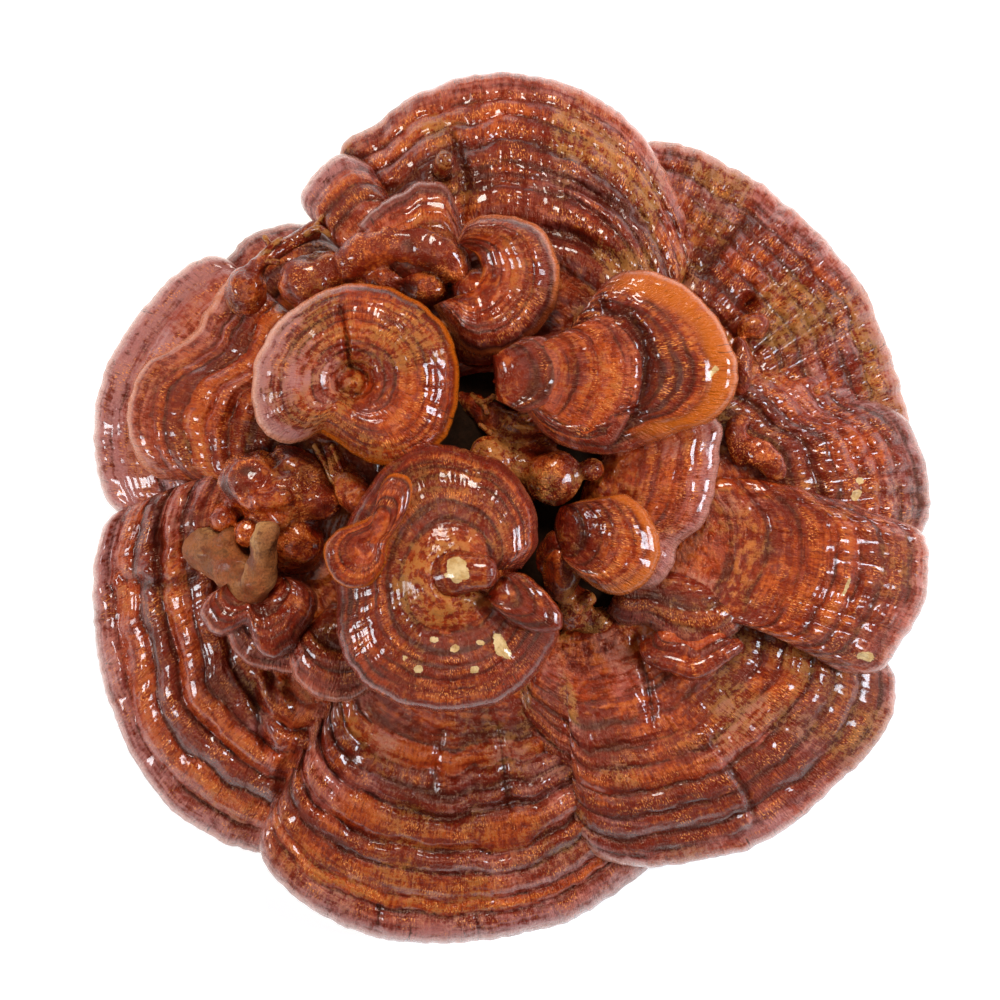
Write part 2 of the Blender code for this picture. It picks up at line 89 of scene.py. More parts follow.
@dataclass
class Swell:
    """A mound (height > 0) or dimple (height < 0) on a cap."""

    x: float
    y: float
    radius: float
    height: float


@dataclass
class Flake:
    """A patch where the lacquer has chipped off to the pale flesh: place, half sizes and turn."""

    x: float
    y: float
    long: float
    wide: float
    turn: float = 0.0


@dataclass
class Cap:
    """A cap shell. root and margin run the same way round; heights are its middle surface, root to margin.

    rings are the grooves between growth bands, as shares of the way from root to margin, and deep adds
    (share, depth in mm) to some of them. rim is the width in mm of the orange young margin. young and misty are
    the shares of the way round the margin between which the orange margin and the bloom lie. roll and quilt are the
    heights of the rings and of the cushions across them, and flat is how much the inner half is smoothed.
    """

    name: str
    skin: str
    root: tuple
    margin: tuple
    heights: tuple
    sides: tuple = (0, 0)
    over: float = 6.0
    under: float = 5.0
    edge: float = 7.0
    bow: tuple = (0, 0)
    whole: bool = False
    rings: tuple = (0.25, 0.4, 0.52, 0.63, 0.73, 0.82, 0.9, 0.96)
    roll: float = 1.5
    quilt: float = 0.0
    flat: float = 0.0
    deep: tuple = ()
    young: tuple = (0, 1)
    misty: tuple = (0, 1)
    bloom: float = 0.25
    rim: float = 0.0
    dust: float = 0.4
    marks: tuple = ()
    extras: tuple = ()


@dataclass
class Cluster:
    """Lobes and stalks that grew into one piece, with thin dry twigs on it."""

    name: str
    skin: str
    growths: tuple
    voxel: float = 0.8
    twigs: tuple = ()
    red: float = 0.0
    dust: float = 0.4


def loop(x, y, radius):
    """Points of a closed loop round a nub."""
    return tuple((x + radius * math.cos(k * math.pi / 6), y + radius * math.sin(k * math.pi / 6)) for k in range(13))


CAPS = (
    Cap("left_back_cap", "bark_red",
        root=((-26, 36), (-36, 26)),
        margin=((-60, 97), (-70, 102), (-80, 102.5), (-88, 100.5), (-96, 96), (-101, 91), (-105, 82)),
        heights=(40, 37, 28, 11), sides=(0, -2), bloom=0.6),
    Cap("left_outer_cap", "bark_red",
        root=((-38, 24), (-43, 14), (-45, 2)),
        margin=((-96, 85), (-101, 90), (-108, 91), (-116, 87), (-125, 79), (-133, 70), (-140, 60), (-145, 50),
                (-148, 38), (-149, 25), (-147.5, 12), (-144, 3), (-137, -3), (-127, -6)),
        heights=(40, 39, 31, 13), sides=(1, -4), rings=(0.5, 0.66, 0.78, 0.915), bloom=0.8),
    Cap("upper_right_cap", "bark_red",
        root=((44, 8), (39, 22), (28, 35)),
        margin=((141, 16), (144.5, 28), (141, 40), (138, 51), (134, 63), (128, 77), (120, 89), (110, 100),
                (100, 109), (90, 117), (80, 122.5), (70, 128), (60, 131), (50, 132), (41, 126)),
        heights=(40, 38, 30, 12), sides=(-3, -2), quilt=2.2, roll=0.9, bloom=0.6, dust=1.0,
        rings=(0.42, 0.52, 0.61, 0.69, 0.76, 0.83, 0.895, 0.955),
        marks=(Crease(((60, 72), (75, 88), (90, 101), (95, 104)), 4.0, -2.4),
               Crease(((70, 70), (85, 80), (100, 88), (115, 92)), 4.4, -2.6),
               Crease(((80, 66), (100, 72), (118, 74)), 4.0, -1.6), Crease(((66, 84), (80, 97), (88, 106)), 3.4, 1.5), Swell(60, 81, 5, -5), Swell(83, 73, 5, -5))),
    Cap("lower_left_cap", "lacquer_red",
        root=((-45, 8), (-45, -8), (-41, -24)),
        margin=((-135, 0.5), (-141, -1.5), (-146, -9), (-148.5, -20), (-149, -33), (-148, -46), (-145.5, -60),
                (-141, -74), (-135, -88), (-128, -99), (-119, -109), (-109, -116), (-98, -121), (-88, -123),
                (-78, -118)),
        heights=(46, 45, 38, 17), sides=(4, -10), bow=(11, 0), bloom=0.66, dust=0.4,
        rings=(0.48, 0.57, 0.66, 0.75, 0.835, 0.925), roll=1.5,
        deep=((0.57, 1.2), (0.75, 1.5), (0.925, 1.0)),
        marks=(Crease(((-86, -60), (-83, -70), (-81, -82), (-84, -98)), 2.6, -3.2),
               Crease(((-80, -60), (-78, -72), (-77, -84)), 2.2, -2.4),
               Crease(((-89.5, -60), (-88, -72), (-86, -84)), 1.6, 2.0),
               Crease(((-138, -30), (-139, -45), (-137, -60)), 1.4, -0.8), Swell(-124, -4, 15, 2.5), Swell(-112, -4, 12, 3),
               Crease(((-134, -20), (-125, -22), (-118, -22), (-112, -20)), 2.5, -2.2),
               Crease(((-136, -24.5), (-125, -26.5), (-116, -26), (-110, -23)), 2.0, 1.6),
               Crease(((-125, 6), (-123, -2), (-122, -12)), 2.2, 1.3),
               Crease(((-112, 10), (-112, -2), (-112, -15)), 2.2, 1.6),
               Crease(((-118, 9), (-117, -2), (-117, -16)), 2.0, 0.8),
               Crease(((-104, 9), (-105, -2), (-106, -12)), 3.0, -2.0))),
    Cap("right_cap", "lacquer_red",
        root=((45, -10), (46, 2), (44, 14), (40, 22)),
        margin=((142, -17), (148, -8), (150.5, 4), (149.5, 14), (146.5, 24), (141, 33), (134, 37.5), (127, 40),
                (119, 46), (111, 52), (103, 56), (95, 58.5), (84, 58.5)),
        heights=(45, 45, 39, 17), sides=(-6, 6), bloom=0.5, dust=0.7, quilt=1.3, roll=1.1, flat=0.4,
        rings=(0.52, 0.6, 0.68, 0.755, 0.83, 0.9, 0.96), deep=((0.6, 1.2), (0.755, 0.8)), marks=(Flake(121, 5, 2.2, 1.4, 0.8), Flake(122.5, 10, 1.4, 1))),
    Cap("bottom_cap", "lacquer_red",
        root=((-40, -26), (-28, -37), (-10, -43), (6, -44)),
        margin=((-86, -102), (-86, -108), (-89.5, -117), (-88, -124), (-83, -132), (-75, -139.5),
                (-65, -146), (-55, -150.5), (-45, -153.5), (-30, -155), (-18, -155), (-6, -153.5), (8, -151),
                (22, -147), (36, -139), (47, -131.5), (54, -124)),
        heights=(44, 41, 33, 13), sides=(8, -7), bloom=0.55, dust=0.6, roll=1.7,
        rings=(0.36, 0.43, 0.5, 0.575, 0.69, 0.765, 0.85, 0.89), deep=((0.43, 1.0), (0.575, 1.6), (0.69, 1.8), (0.85, 1.0)),
        marks=(Crease(((-4, -76), (-2, -92), (0, -104)), 1.4, 1.6), Crease(((-24, -78), (-26, -90), (-27, -98)), 1.4, 1.2),
               Crease(((-46, -140), (-47, -150)), 0.9, 1.4), Crease(((-12, -143), (-10, -154)), 0.8, 1.2),
               Crease(((15, -140), (20, -148)), 0.8, 1.2), Crease(((-62, -132), (-66, -144)), 0.8, 1.2),
               Crease(((-75, -100), (-68, -88), (-58, -80)), 3.0, -2.0),
               Crease(((-50, -80), (-58, -90), (-66, -104)), 2.0, 1.0))),
    Cap("left_inner_cap", "lacquer_red",
        root=((-34, 32), (-41, 22), (-44, 8)),
        margin=((-96, 86), (-104, 77), (-109, 69), (-114, 61.5), (-122, 56.5), (-129, 52), (-134, 43),
                (-136, 33), (-134.5, 23), (-130.5, 15), (-125, 11), (-118, 10)),
        heights=(46, 49, 45, 30), over=5.5, under=4.5, edge=6, bloom=0.35, roll=1.8, rim=2.5,
        rings=(0.46, 0.54, 0.62, 0.7, 0.775, 0.85, 0.89), deep=((0.62, 1.5), (0.775, 1.2))),
    Cap("top_cap", "lacquer_red",
        root=((34, 30), (20, 42), (0, 47), (-18, 43), (-27, 36)),
        margin=((64, 85), (66.5, 94), (63, 104), (56, 119), (49, 131), (40, 140.5),
                (30, 147.5), (15, 153), (2, 155.5), (-12, 155), (-22, 152.5), (-32, 148.5), (-41, 143),
                (-50, 136), (-57, 133), (-61, 126), (-60, 116)),
        heights=(46, 47, 42, 21), sides=(5, 2), bloom=0.35, dust=0.95, roll=1.2, quilt=0.7,
        rings=(0.36, 0.47, 0.6, 0.665, 0.745, 0.83, 0.89, 0.95), deep=((0.665, 1.0), (0.745, 1.0), (0.89, 0.8)),
        marks=(Crease(((-20, 131), (-16, 120), (-15, 112), (-17, 101)), 1.6, 1.8),
               Crease(((-58, 126), (-50, 120), (-45, 113), (-41, 107)), 2.2, 2.4),
               Crease(((-40, 112), (-30, 117), (-22, 121)), 2.0, 1.5),
               Crease(((-16, 113), (-5, 116), (10, 115), (25, 112.5), (36, 107), (46, 101)), 2.2, 2.2),
               Crease(((12, 97), (25, 94), (34, 89), (42, 82)), 3.0, 2.6)),
        extras=(Stalk(((-24, 117, 46, 3), (-23, 121, 51, 3.2), (-21.5, 124, 54, 2.8))),)),
    Cap("lower_right_cap", "lacquer_red",
        root=((10, -43), (22, -41), (34, -36), (42, -27)),
        margin=((-4, -73), (0, -80), (2, -88), (8, -95), (17, -104), (24, -108), (23, -113), (26, -119.5),
                (32, -124), (41, -127), (52, -127.5), (65, -126), (76, -124), (86, -121), (96, -116),
                (107, -107), (117, -98), (127, -88.5), (135, -78), (138.5, -66), (137.5, -57.5), (127, -49)),
        heights=(46, 43, 37, 18), sides=(6, -6), bloom=0.5, dust=0.85, roll=1.0, flat=0.6,
        rings=(0.3, 0.4, 0.5, 0.58, 0.68, 0.78, 0.87, 0.95), deep=((0.5, 1.0), (0.68, 1.0), (0.87, 0.8)),
        marks=(Crease(((44, -44), (48, -60), (50, -74)), 1.6, 2.2),
               Crease(((68, -78), (74, -90), (80, -99), (83, -110)), 2.0, -1.6),
               Crease(((70.5, -80), (77, -91), (83, -100), (86, -109)), 1.4, 1.4))),
    Cap("right_lower_cap", "lacquer_red",
        root=((37, -36), (44, -24), (47, -8), (45, 10)),
        margin=((113, -55), (118, -57.5), (124, -58), (131, -57), (135, -53), (138, -47.5), (144, -40),
                (147.5, -30), (148.5, -18), (147, -9), (140, -4.5), (131, -1.5), (122, 2)),
        heights=(47, 49, 45, 24), sides=(8, 7), bow=(-7, 5), bloom=0.5, dust=0.5, roll=0.8, flat=0.85,
        rings=(0.3, 0.42, 0.55, 0.67, 0.75, 0.83, 0.93), deep=((0.42, 0.8), (0.75, 1.0)), quilt=0.9, marks=(Flake(124, -51, 3.6, 1.6, -0.1), Flake(117, -27, 3.4, 0.7, 1.2))),
    Cap("top_left_lobe", "lacquer_red",
        root=((-30, 84), (-42, 72)),
        margin=((-47, 121), (-52, 124), (-59, 126), (-66, 122.5), (-71.5, 116), (-74.5, 109), (-70, 102)),
        heights=(46, 48, 44, 31), edge=6, bloom=0.6, rings=(0.45, 0.62, 0.76, 0.88)),
    Cap("dark_red_fan", "lacquer_red",
        root=((-18, 78), (-34, 74)),
        margin=((-15, 96), (-18.5, 106), (-22, 113), (-29, 115.5), (-38, 111.5), (-46, 106.5), (-54, 100)),
        heights=(52, 59, 61, 56), over=5, under=4, edge=5, rings=(0.4, 0.6, 0.78, 0.9)),
    Cap("middle_right_fan", "lacquer_red",
        root=((22, -8), (22, 4), (28, 18)),
        margin=((38, -26), (47, -28), (53, -26), (57, -20), (59, -13), (66, -7), (71, 2), (73, 12), (74, 22),
                (74, 30), (64, 36)),
        heights=(50, 60, 62, 58), edge=6, bloom=0.6, rings=(0.4, 0.56, 0.7, 0.82, 0.92), roll=0.8, flat=0.4,
        marks=(Swell(30, 8, 7, 2.5),)),
    Cap("neck_fold", "lacquer_red",
        root=((40, -20), (56, -20), (68, -24)),
        margin=((33, -36), (38, -41), (49, -42), (57, -47), (66, -49), (76, -46.5), (83, -40)),
        heights=(50, 52, 53, 49), edge=5, rings=(0.5, 0.75)),
    Cap("curled_lip", "lacquer_red",
        root=((54, -40), (64, -38), (74, -40)),
        margin=((47, -45), (48, -51), (54, -54), (60, -56), (63.5, -59), (68, -57), (72, -53), (79, -48)),
        heights=(48, 52, 53, 50), over=4, under=4, edge=4, rings=(0.5, 0.8), bloom=0.05, dust=0.1,
        extras=(Stalk(((47, -45, 51, 3), (50, -50.5, 53.5, 4), (57, -53, 54.5, 4), (63, -55, 54.5, 4), (69, -53, 54, 4),
                       (75, -49, 53, 3.5), (81, -46, 51, 2.5))),)),
    Cap("under_fan_left", "lacquer_red",
        root=((-82, -30), (-72, -34)),
        margin=((-100, -42), (-97, -49), (-92, -54), (-85, -56.5), (-77, -58), (-70, -57), (-64, -50)),
        heights=(50, 55, 57, 54), over=5, under=4, edge=5, rings=(0.45, 0.65, 0.85)),
    Cap("under_fan_right", "lacquer_red",
        root=((-62, -32), (-50, -30)),
        margin=((-79, -50), (-75.5, -59), (-71, -63.5), (-65, -66.5), (-57, -67.5), (-50, -65), (-42, -58)),
        heights=(52, 60, 63, 58), over=5, under=4, edge=6, rings=(0.5, 0.7, 0.88)),
    Cap("double_fan", "lacquer_red",
        root=((-95, -24), (-88, -26), (-80, -23)),
        margin=((-101, -27), (-106, -31), (-108, -37), (-105, -42), (-100, -44.5), (-95, -43), (-91, -41.5),
                (-89, -46), (-86, -51), (-80, -52.5), (-74, -49), (-71, -44), (-67, -38), (-65.5, -31),
                (-69, -26), (-75, -23)),
        heights=(58, 64, 67, 63), over=5, under=4, edge=5, rings=(0.4, 0.58, 0.72, 0.84, 0.93), roll=0.7, bloom=0.05),
    Cap("kidney_cap", "lacquer_red",
        root=((-18, 74), (-12, 78), (-10, 83), (-12, 88), (-17, 91)),
        margin=((-28, 70), (-22, 62), (-17, 55.5), (-11, 52.3), (-4, 52.3), (4, 55.8), (11, 61.5), (16, 69),
                (18.2, 78), (17, 87), (13.5, 95), (8, 99.8), (0, 102.3), (-8, 102.8), (-15, 100), (-18.5, 94)),
        heights=(66, 70, 73, 67), sides=(-6, 0), over=5, under=4, edge=6, rim=2.0, roll=1.0, dust=0.35, bloom=0.2,
        rings=(0.16, 0.28, 0.38, 0.48, 0.58, 0.68, 0.79, 0.9),
        extras=(Stalk(((-13, 82, 66, 7), (-11, 70, 58, 9), (-10, 52, 46, 12))),)),
    Cap("orange_rim_cap", "lacquer_orange",
        root=((7, 46),),
        margin=((4, 34), (11, 26), (22, 20), (36, 18.5), (47, 21.5), (55, 24.5), (61, 27), (70, 30), (76, 36),
                (79.5, 46), (77, 57), (71.5, 67), (64, 75.5), (55, 81), (46, 83.5), (38, 82.5), (32, 78),
                (28, 69), (19, 63), (8, 60), (-1, 55), (-4, 47), (-2, 39)),
        heights=(68, 71, 75, 69), edge=6, whole=True, rim=10, young=(0.24, 0.66), roll=1.2, bloom=0.05,
        dust=0.35,
        rings=(0.16, 0.27, 0.36, 0.45, 0.54, 0.63, 0.71, 0.79, 0.87),
        marks=(Crease(((31, 72), (33, 67), (40, 67), (45, 60), (47, 52), (46, 42), (43, 32), (37, 25), (34, 20)), 2.4, 3.6),
               Flake(69, 47, 2.2, 0.9, 1.2)),
        extras=(Stalk(((6, 46, 60, 9), (8, 40, 52, 11), (8, 34, 44, 13))),)),
    Cap("orange_rim_cap/second_fan", "lacquer_red",
        root=((-6, 44), (-4, 50)),
        margin=((30, 21), (36, 22), (40, 27), (43.5, 34), (46, 43), (46, 52), (43.5, 60), (38.5, 66), (32, 67.5), (27, 65.5)),
        heights=(74, 77.5, 78.5, 75), over=4, under=4, edge=4, rings=(0.56, 0.72, 0.88), deep=((0.72, 1.0),), roll=0.9,
        bloom=0.1, dust=0.35),
    Cap("orange_rim_cap/first_fan", "lacquer_red",
        root=((-5, 38), (-6, 53)),
        margin=((5, 32.5), (12, 34.5), (17.5, 38), (20, 42.5), (20.5, 49), (18, 55), (13, 59.5), (6, 60)),
        heights=(75, 79, 80.5, 78), over=4, under=4, edge=3.5, rings=(0.55, 0.8), roll=0.8, bloom=0.1, dust=0.6),
    Cap("round_cap", "lacquer_red",
        root=((-54, 45),),
        margin=((-16.5, 42), (-17, 52), (-20, 61), (-26, 68.5), (-34, 74.5), (-45, 78.5), (-57, 78.5),
                (-67, 75.5), (-76, 69.5), (-83, 62), (-88, 53), (-90, 43), (-89, 33), (-85, 26), (-79, 22.5),
                (-72, 23), (-66, 25.5), (-61, 23), (-55, 19), (-48, 15), (-40, 14), (-32, 16), (-24, 21),
                (-19, 30)),
        heights=(76, 80, 81, 74), over=5, under=5, edge=6, whole=True, bloom=0.76, misty=(0.36, 0.66), rim=1.6, roll=0.55,
        dust=0.75,
        rings=(0.2, 0.3, 0.4, 0.5, 0.6, 0.7, 0.8, 0.86, 0.91, 0.95),
        marks=(Swell(-54, 44, 11, -5), Swell(-54, 44, 5, 7.5), Crease(loop(-54, 44, 5.4), 1.3, 1.6), Crease(((-58, 69), (-56, 60), (-55, 50)), 1.1, 2.6)),
        extras=(Stalk(((-53, 43, 74, 9), (-46, 36, 60, 11), (-34, 26, 44, 14))),)),
    Cap("small_orange_cap", "lacquer_orange",
        root=((17, -14), (15, -9), (15, -4), (17, 1)),
        margin=((19.5, -19), (25, -24), (30, -27.5), (37, -30), (44, -28), (50, -22.5), (52.5, -14),
                (51, -5), (46.5, 2), (40, 5.8), (33, 5), (26, 4)),
        heights=(64, 71, 75, 71), over=5, under=4, edge=5, rim=4.5, roll=0.9, bloom=0.05, rings=(0.3, 0.45, 0.6, 0.74, 0.86),
        extras=(Stalk(((20, -9, 67, 5), (17, -13, 60, 6), (14, -20, 50, 8))),)),
    Cap("front_cap", "lacquer_red",
        root=((-15, -21), (-18, -18), (-23, -20), (-22, -26), (-16, -25)),
        margin=((5, -20), (9.5, -13), (10.5, -5), (8.5, 3), (3.5, 11.5), (-3, 17.5), (-12, 21), (-22, 23.5),
                (-31, 23.5), (-39, 20), (-46, 13), (-53, 3), (-58, -8), (-60, -20), (-60.5, -32), (-60, -43),
                (-56.5, -53), (-50, -61), (-41, -66.5), (-30, -69.5), (-20, -70.5), (-9, -69), (1, -64.5),
                (9, -58), (14.5, -50), (18, -42), (17, -36)),
        heights=(84, 86, 86, 79), sides=(-2, -3), edge=6, bloom=0.05, roll=0.5, dust=0.5,
        rings=(0.35, 0.52, 0.62, 0.72, 0.8, 0.86, 0.91, 0.95),
        marks=(Swell(-24, -24, 22, 9), Flake(-17, -21, 3.4, 3.2), Flake(-3, -46, 2.4, 4.4, 0.4), Flake(-19, -47, 1.6, 1.2), Flake(-12, -54, 1.5, 1.2),
               Flake(-31, -54, 1.4, 1), Flake(-10, -45, 1.8, 1), Flake(-26, -44, 1.2, 1), Flake(-36, -50, 1, 0.8)),
        extras=(Stalk(((-27, -26, 80, 12), (-22, -22.5, 89, 9.5), (-15, -21, 95, 7.2), (-8, -21, 97.5, 5.6), (-4, -21, 97, 4.4)),
                      ((-18, -20, 101, 4.6),)),
                Stalk(((-20, -25, 80, 11), (-14, -20, 64, 12), (-6, -12, 48, 15))))),
    Cap("little_cap", "lacquer_red",
        root=((-8, -29), (-6.5, -26), (-4, -23)),
        margin=((-7, -32), (-1, -38), (6, -41.5), (13, -42.5), (18.5, -41), (18.5, -36), (15, -30), (10, -25),
                (5, -21), (0, -20.5)),
        heights=(89, 93, 93, 90), over=4, under=3.5, edge=4, roll=0.5, rings=(0.4, 0.6, 0.8), bloom=0.0, dust=0.3),
    Cap("curled_flap", "lacquer_orange",
        root=((-48, -11),),
        margin=((-35, -2), (-32.5, 5), (-34, 12), (-40, 13.5), (-44, 9), (-46, 1), (-53, -3.5), (-60, -6.5),
                (-64, -12), (-64, -18), (-60, -25), (-53, -28), (-46, -25.5), (-42, -20), (-40, -11)),
        heights=(92, 93, 93, 91), over=4, under=3.5, edge=4, whole=True, roll=0.7, rim=1.2, bloom=0.0, dust=0.2,
        rings=(0.5, 0.66, 0.8, 0.9)),
)

CLUSTERS = (
    Cluster("knobbly_lobes", "lacquer_red", (
        Lump((-78, 4, 54), (16, 15, 17), 0.3), Lump((-90, 11, 56), (12, 10, 14), 0.5),
        Lump((-66, 3, 62), (8, 7.5, 9)), Lump((-75, -11, 57), (11, 12, 12), 0.4),
        Lump((-71, 14, 58), (13, 6, 9), -0.6), Lump((-99, -3, 54), (5.5, 6, 8)), Lump((-91, -8, 62), (4.5, 5, 6)),
        Stalk(((-93, 5, 62, 4), (-84, 3, 69, 4), (-74, 5, 70, 4))), Stalk(((-84, 3, 66, 3.5), (-77, -7, 68, 4))))),
    Cluster("finger_stalk", "stalk_brown", (
        Stalk(((-112, -13, 47, 7), (-103, -15, 54, 8.5), (-96, -20, 60, 8), (-90, -26, 66, 7), (-86, -23, 71, 6),
               (-85, -13, 75, 5.2), (-82, -3, 78, 4)), ((-85, -17, 79, 2.6),)),
        Stalk(((-99, -17, 55, 6), (-97, -10, 61, 5), (-97, -5, 62, 3.5)))), 0.7, red=0.25, dust=1.0),
    Cluster("centre_lobes", "lacquer_red", (
        Lump((4, 14, 52), (18, 13, 14)), Lump((-7, 18, 61), (8, 8, 8)), Lump((15, 11, 64), (10, 10, 8)),
        Lump((28, 14, 65), (4.5, 4, 5)), Lump((18, -20, 58), (7, 12, 12)),
        Stalk(((-18, 41, 50, 4), (-9, 34, 57, 5), (2, 29, 60, 5.5), (12, 30, 61, 5), (21, 24, 60, 4))),
        Lump((22, -33, 48), (7, 10, 11), -0.4), Lump((27, -31, 57), (3.4, 3.4, 4)), Lump((29, -39, 46), (9, 6, 8))),
        twigs=(((-14, 40, 54, 1.6), (-9, 37, 61, 1.4), (-5, 40, 64, 0.9)), ((-9, 37, 60, 1.4), (-8, 33, 65, 1.0)),
               ((-2, 33, 62, 1.5), (3, 29, 67, 1.3), (9, 28, 68, 1.0)), ((5, 30, 64, 1.4), (10, 33, 68, 0.9)),
               ((12, 28, 64, 1.3), (17, 27, 69, 0.9)), ((-6, 26, 62, 1.2), (-11, 30, 64, 0.8))), dust=0.9),
    Cluster("curled_fold", "lacquer_red", (
        Stalk(((-60, 82, 50, 6), (-53, 88, 57, 7), (-42, 92, 61, 7), (-30, 91, 63, 7), (-20, 86, 63, 6.5),
               (-16, 79, 60, 5.5))),
        Lump((-30, 77, 57), (9, 6.5, 9), -0.2), Lump((-43, 80, 55), (8, 6, 8)), Lump((-38, 82, 48), (20, 12, 9)))),
    Cluster("round_knob", "lacquer_red", (
        Lump((-92, 76.5, 44), (7.6, 9, 8)),
        Stalk(((-90, 82, 40, 4), (-88, 85, 46, 3.5), (-82, 90, 47, 3), (-77, 93, 45, 3), (-66, 99, 42, 4)))), 0.6,
        twigs=(((-88, 86, 46, 1.6), (-84, 91, 50, 1.3), (-79, 95, 50, 0.9)), ((-86, 87, 48, 1.4), (-80, 86, 52, 1.0)),
               ((-83, 91, 49, 1.3), (-86, 96, 49, 0.8)), ((-72, 96, 46, 1.4), (-66, 98, 50, 1.2), (-62, 95, 50, 0.9)),
               ((-68, 98, 47, 1.3), (-65, 103, 47, 0.9)))),
    Cluster("left_shoulder_lobe", "lacquer_red", (
        Lump((-71, 79, 51), (10, 10, 10), 0.4), Lump((-63, 84, 50), (9, 7, 9)))),
    Cluster("right_knob", "lacquer_red", (
        Stalk(((80, 33, 48, 4), (79, 24, 52, 4.5), (81, 15, 50, 4))),
        Stalk(((80, 24, 48, 3.5), (85, 21, 54, 5), (90, 17, 54, 5), (94.5, 11, 50, 3)))), 0.6),
    Cluster("upper_right_knob", "lacquer_red", (
        Lump((85, 64, 40), (7, 5, 7), 0.2), Lump((80, 50, 48), (5, 11, 9))), 0.6),
    Cluster("nub_stalk", "lacquer_red", (
        Stalk(((-58, 12, 54, 7), (-55, 7, 64, 6.5), (-51, 1, 72, 5.2))),
        Stalk(((-64, 22, 54, 4), (-60, 13, 60, 5), (-56, 6, 60, 5)))), 0.6, dust=0.7,
        twigs=(((-68, 23, 58, 1.3), (-64, 16, 63, 1.2), (-61, 9, 64, 0.9)), ((-62, 23, 60, 1.1), (-58, 14, 65, 0.9)))),
)

STEM_LEVELS = ((0, 43), (7, 47), (20, 45), (34, 49), (46, 50), (53, 44), (57, 30))  # height, radius
STEM_LOBES = ((3, 2.4, 0.4), (5, 1.9, 1.7), (7, 1.1, 0.2))  # waves round the stem, size in mm, phase

# ------------------------------------------------------------------ settings


class ReishiSizes(bpy.types.PropertyGroup):
    """Sizes of the skin's carving."""

    cell: FloatProperty(name="Skin cell", description="Mesh cell on the upper skin, in mm", default=0.9, min=0.5)
    ring_height: FloatProperty(name="Ring height", description="Share of the full ring relief", default=1.0, min=0.0)
    wrinkle: FloatProperty(name="Wrinkle", description="Height of the fine skin wrinkles, in mm", default=0.24, min=0.0)
    inset: FloatProperty(name="Inset", description="How far the margins stay inside their solids, in mm", default=0.3)


class ReishiColours(bpy.types.PropertyGroup):
    """Colours of the skin, linear RGB."""

    lacquer: FloatVectorProperty(name="Lacquer", description="Red-brown lacquered skin", subtype="COLOR",
                                 default=(0.29, 0.026, 0.002))
    blood: FloatVectorProperty(name="Blood red", description="Deep red of the thick lacquer", subtype="COLOR",
                               default=(0.15, 0.009, 0.002))
    # The groove colour is the maroon of the grooves and is also used as painted shade in grooves, creases and
    # down-facing sides
    groove_and_shade: FloatVectorProperty(name="Groove", description="Dark maroon in the ring grooves", subtype="COLOR",
                                default=(0.06, 0.005, 0.002))
    # The crest colour is the orange-tan of the crests and is also used as painted highlight on them
    crest_and_highlight: FloatVectorProperty(name="Crest", description="Orange-tan on the ring crests", subtype="COLOR",
                               default=(0.44, 0.072, 0.008))
    rim: FloatVectorProperty(name="Rim", description="Bright orange young margin", subtype="COLOR",
                             default=(0.43, 0.082, 0.004))
    bloom: FloatVectorProperty(name="Bloom", description="Mauve-grey bloom on the older bands", subtype="COLOR",
                               default=(0.36, 0.135, 0.125))
    dust: FloatVectorProperty(name="Dust", description="Ochre spore dust", subtype="COLOR", default=(0.32, 0.13, 0.027))
    # The gold colour is painted highlight: glints of light, not a colour of the skin
    painted_glint: FloatVectorProperty(name="Gold", description="Golden specks on the crests", subtype="COLOR",
                              default=(0.8, 0.26, 0.055))
    flesh: FloatVectorProperty(name="Flesh", description="Pale flesh under chips and on the pores", subtype="COLOR",
                               default=(0.62, 0.42, 0.2))
    stalk: FloatVectorProperty(name="Stalk", description="Dull brown stalk skin", subtype="COLOR",
                               default=(0.27, 0.09, 0.024))
    floor: FloatVectorProperty(name="Floor", description="Pale floor", subtype="COLOR", default=(0.9, 0.9, 0.9))


# ------------------------------------------------------------------ noise and curves


def lattice(ix, iy, iz, seed):
    """A repeatable value from -1 to 1 at each lattice point."""
    h = ix * 374761393 + iy * 668265263 + iz * 1440662683 + seed * 974634777
    h = (h ^ (h >> 13)) * 1274126177
    h = h ^ (h >> 16)
    return (h & 0xFFFF) / 32767.5 - 1.0


def noise(points, size, seed=0):
    """Smooth value noise from -1 to 1 with features about size mm across."""
    p = np.asarray(points, float) / size
    cell = np.floor(p).astype(np.int64)
    f = p - cell
    f = f * f * (3 - 2 * f)
    total = 0.0
    for dx in (0, 1):
        for dy in (0, 1):
            for dz in (0, 1):
                w = (
                    (f[..., 0] if dx else 1 - f[..., 0])
                    * (f[..., 1] if dy else 1 - f[..., 1])
                    * (f[..., 2] if dz else 1 - f[..., 2])
                )
                total = total + w * lattice(cell[..., 0] + dx, cell[..., 1] + dy, cell[..., 2] + dz, seed)
    return total


def cloud(points, size, seed=0, octaves=3):
    """Layered noise, each layer half the size and half the strength of the last."""
    return sum(noise(points, size / 2**k, seed + 17 * k) / 2**k for k in range(octaves)) / 1.6


def along(points, shares, even=False, ring=False):
    """A smooth curve through points, read at shares of its length, or of its number of spans if even."""
    points = np.array(points, float).reshape(len(points), -1)
    if ring:
        points = np.concatenate([points[-2:], points, points[:3]])
    knots = np.arange(len(points), dtype=float)
    if not even:
        knots = np.concatenate([[0.0], np.cumsum(np.linalg.norm(np.diff(points, axis=0), axis=1))])
    start, stop = (knots[2], knots[-3]) if ring else (knots[0], knots[-1])
    at = start + np.asarray(shares) * (stop - start)
    slopes = np.gradient(points, knots, axis=0)
    span = np.clip(np.searchsorted(knots, at, side="right") - 1, 0, len(knots) - 2)
    width = (knots[span + 1] - knots[span])[:, None]
    x = ((at - knots[span]) / width[:, 0])[:, None]
    return (
        (2 * x**3 - 3 * x**2 + 1) * points[span]
        + (x**3 - 2 * x**2 + x) * width * slopes[span]
        + (3 * x**2 - 2 * x**3) * points[span + 1]
        + (x**3 - x**2) * width * slopes[span + 1]
    )


def path_length(points):
    return float(np.linalg.norm(np.diff(np.array(points, float), axis=0), axis=1).sum())


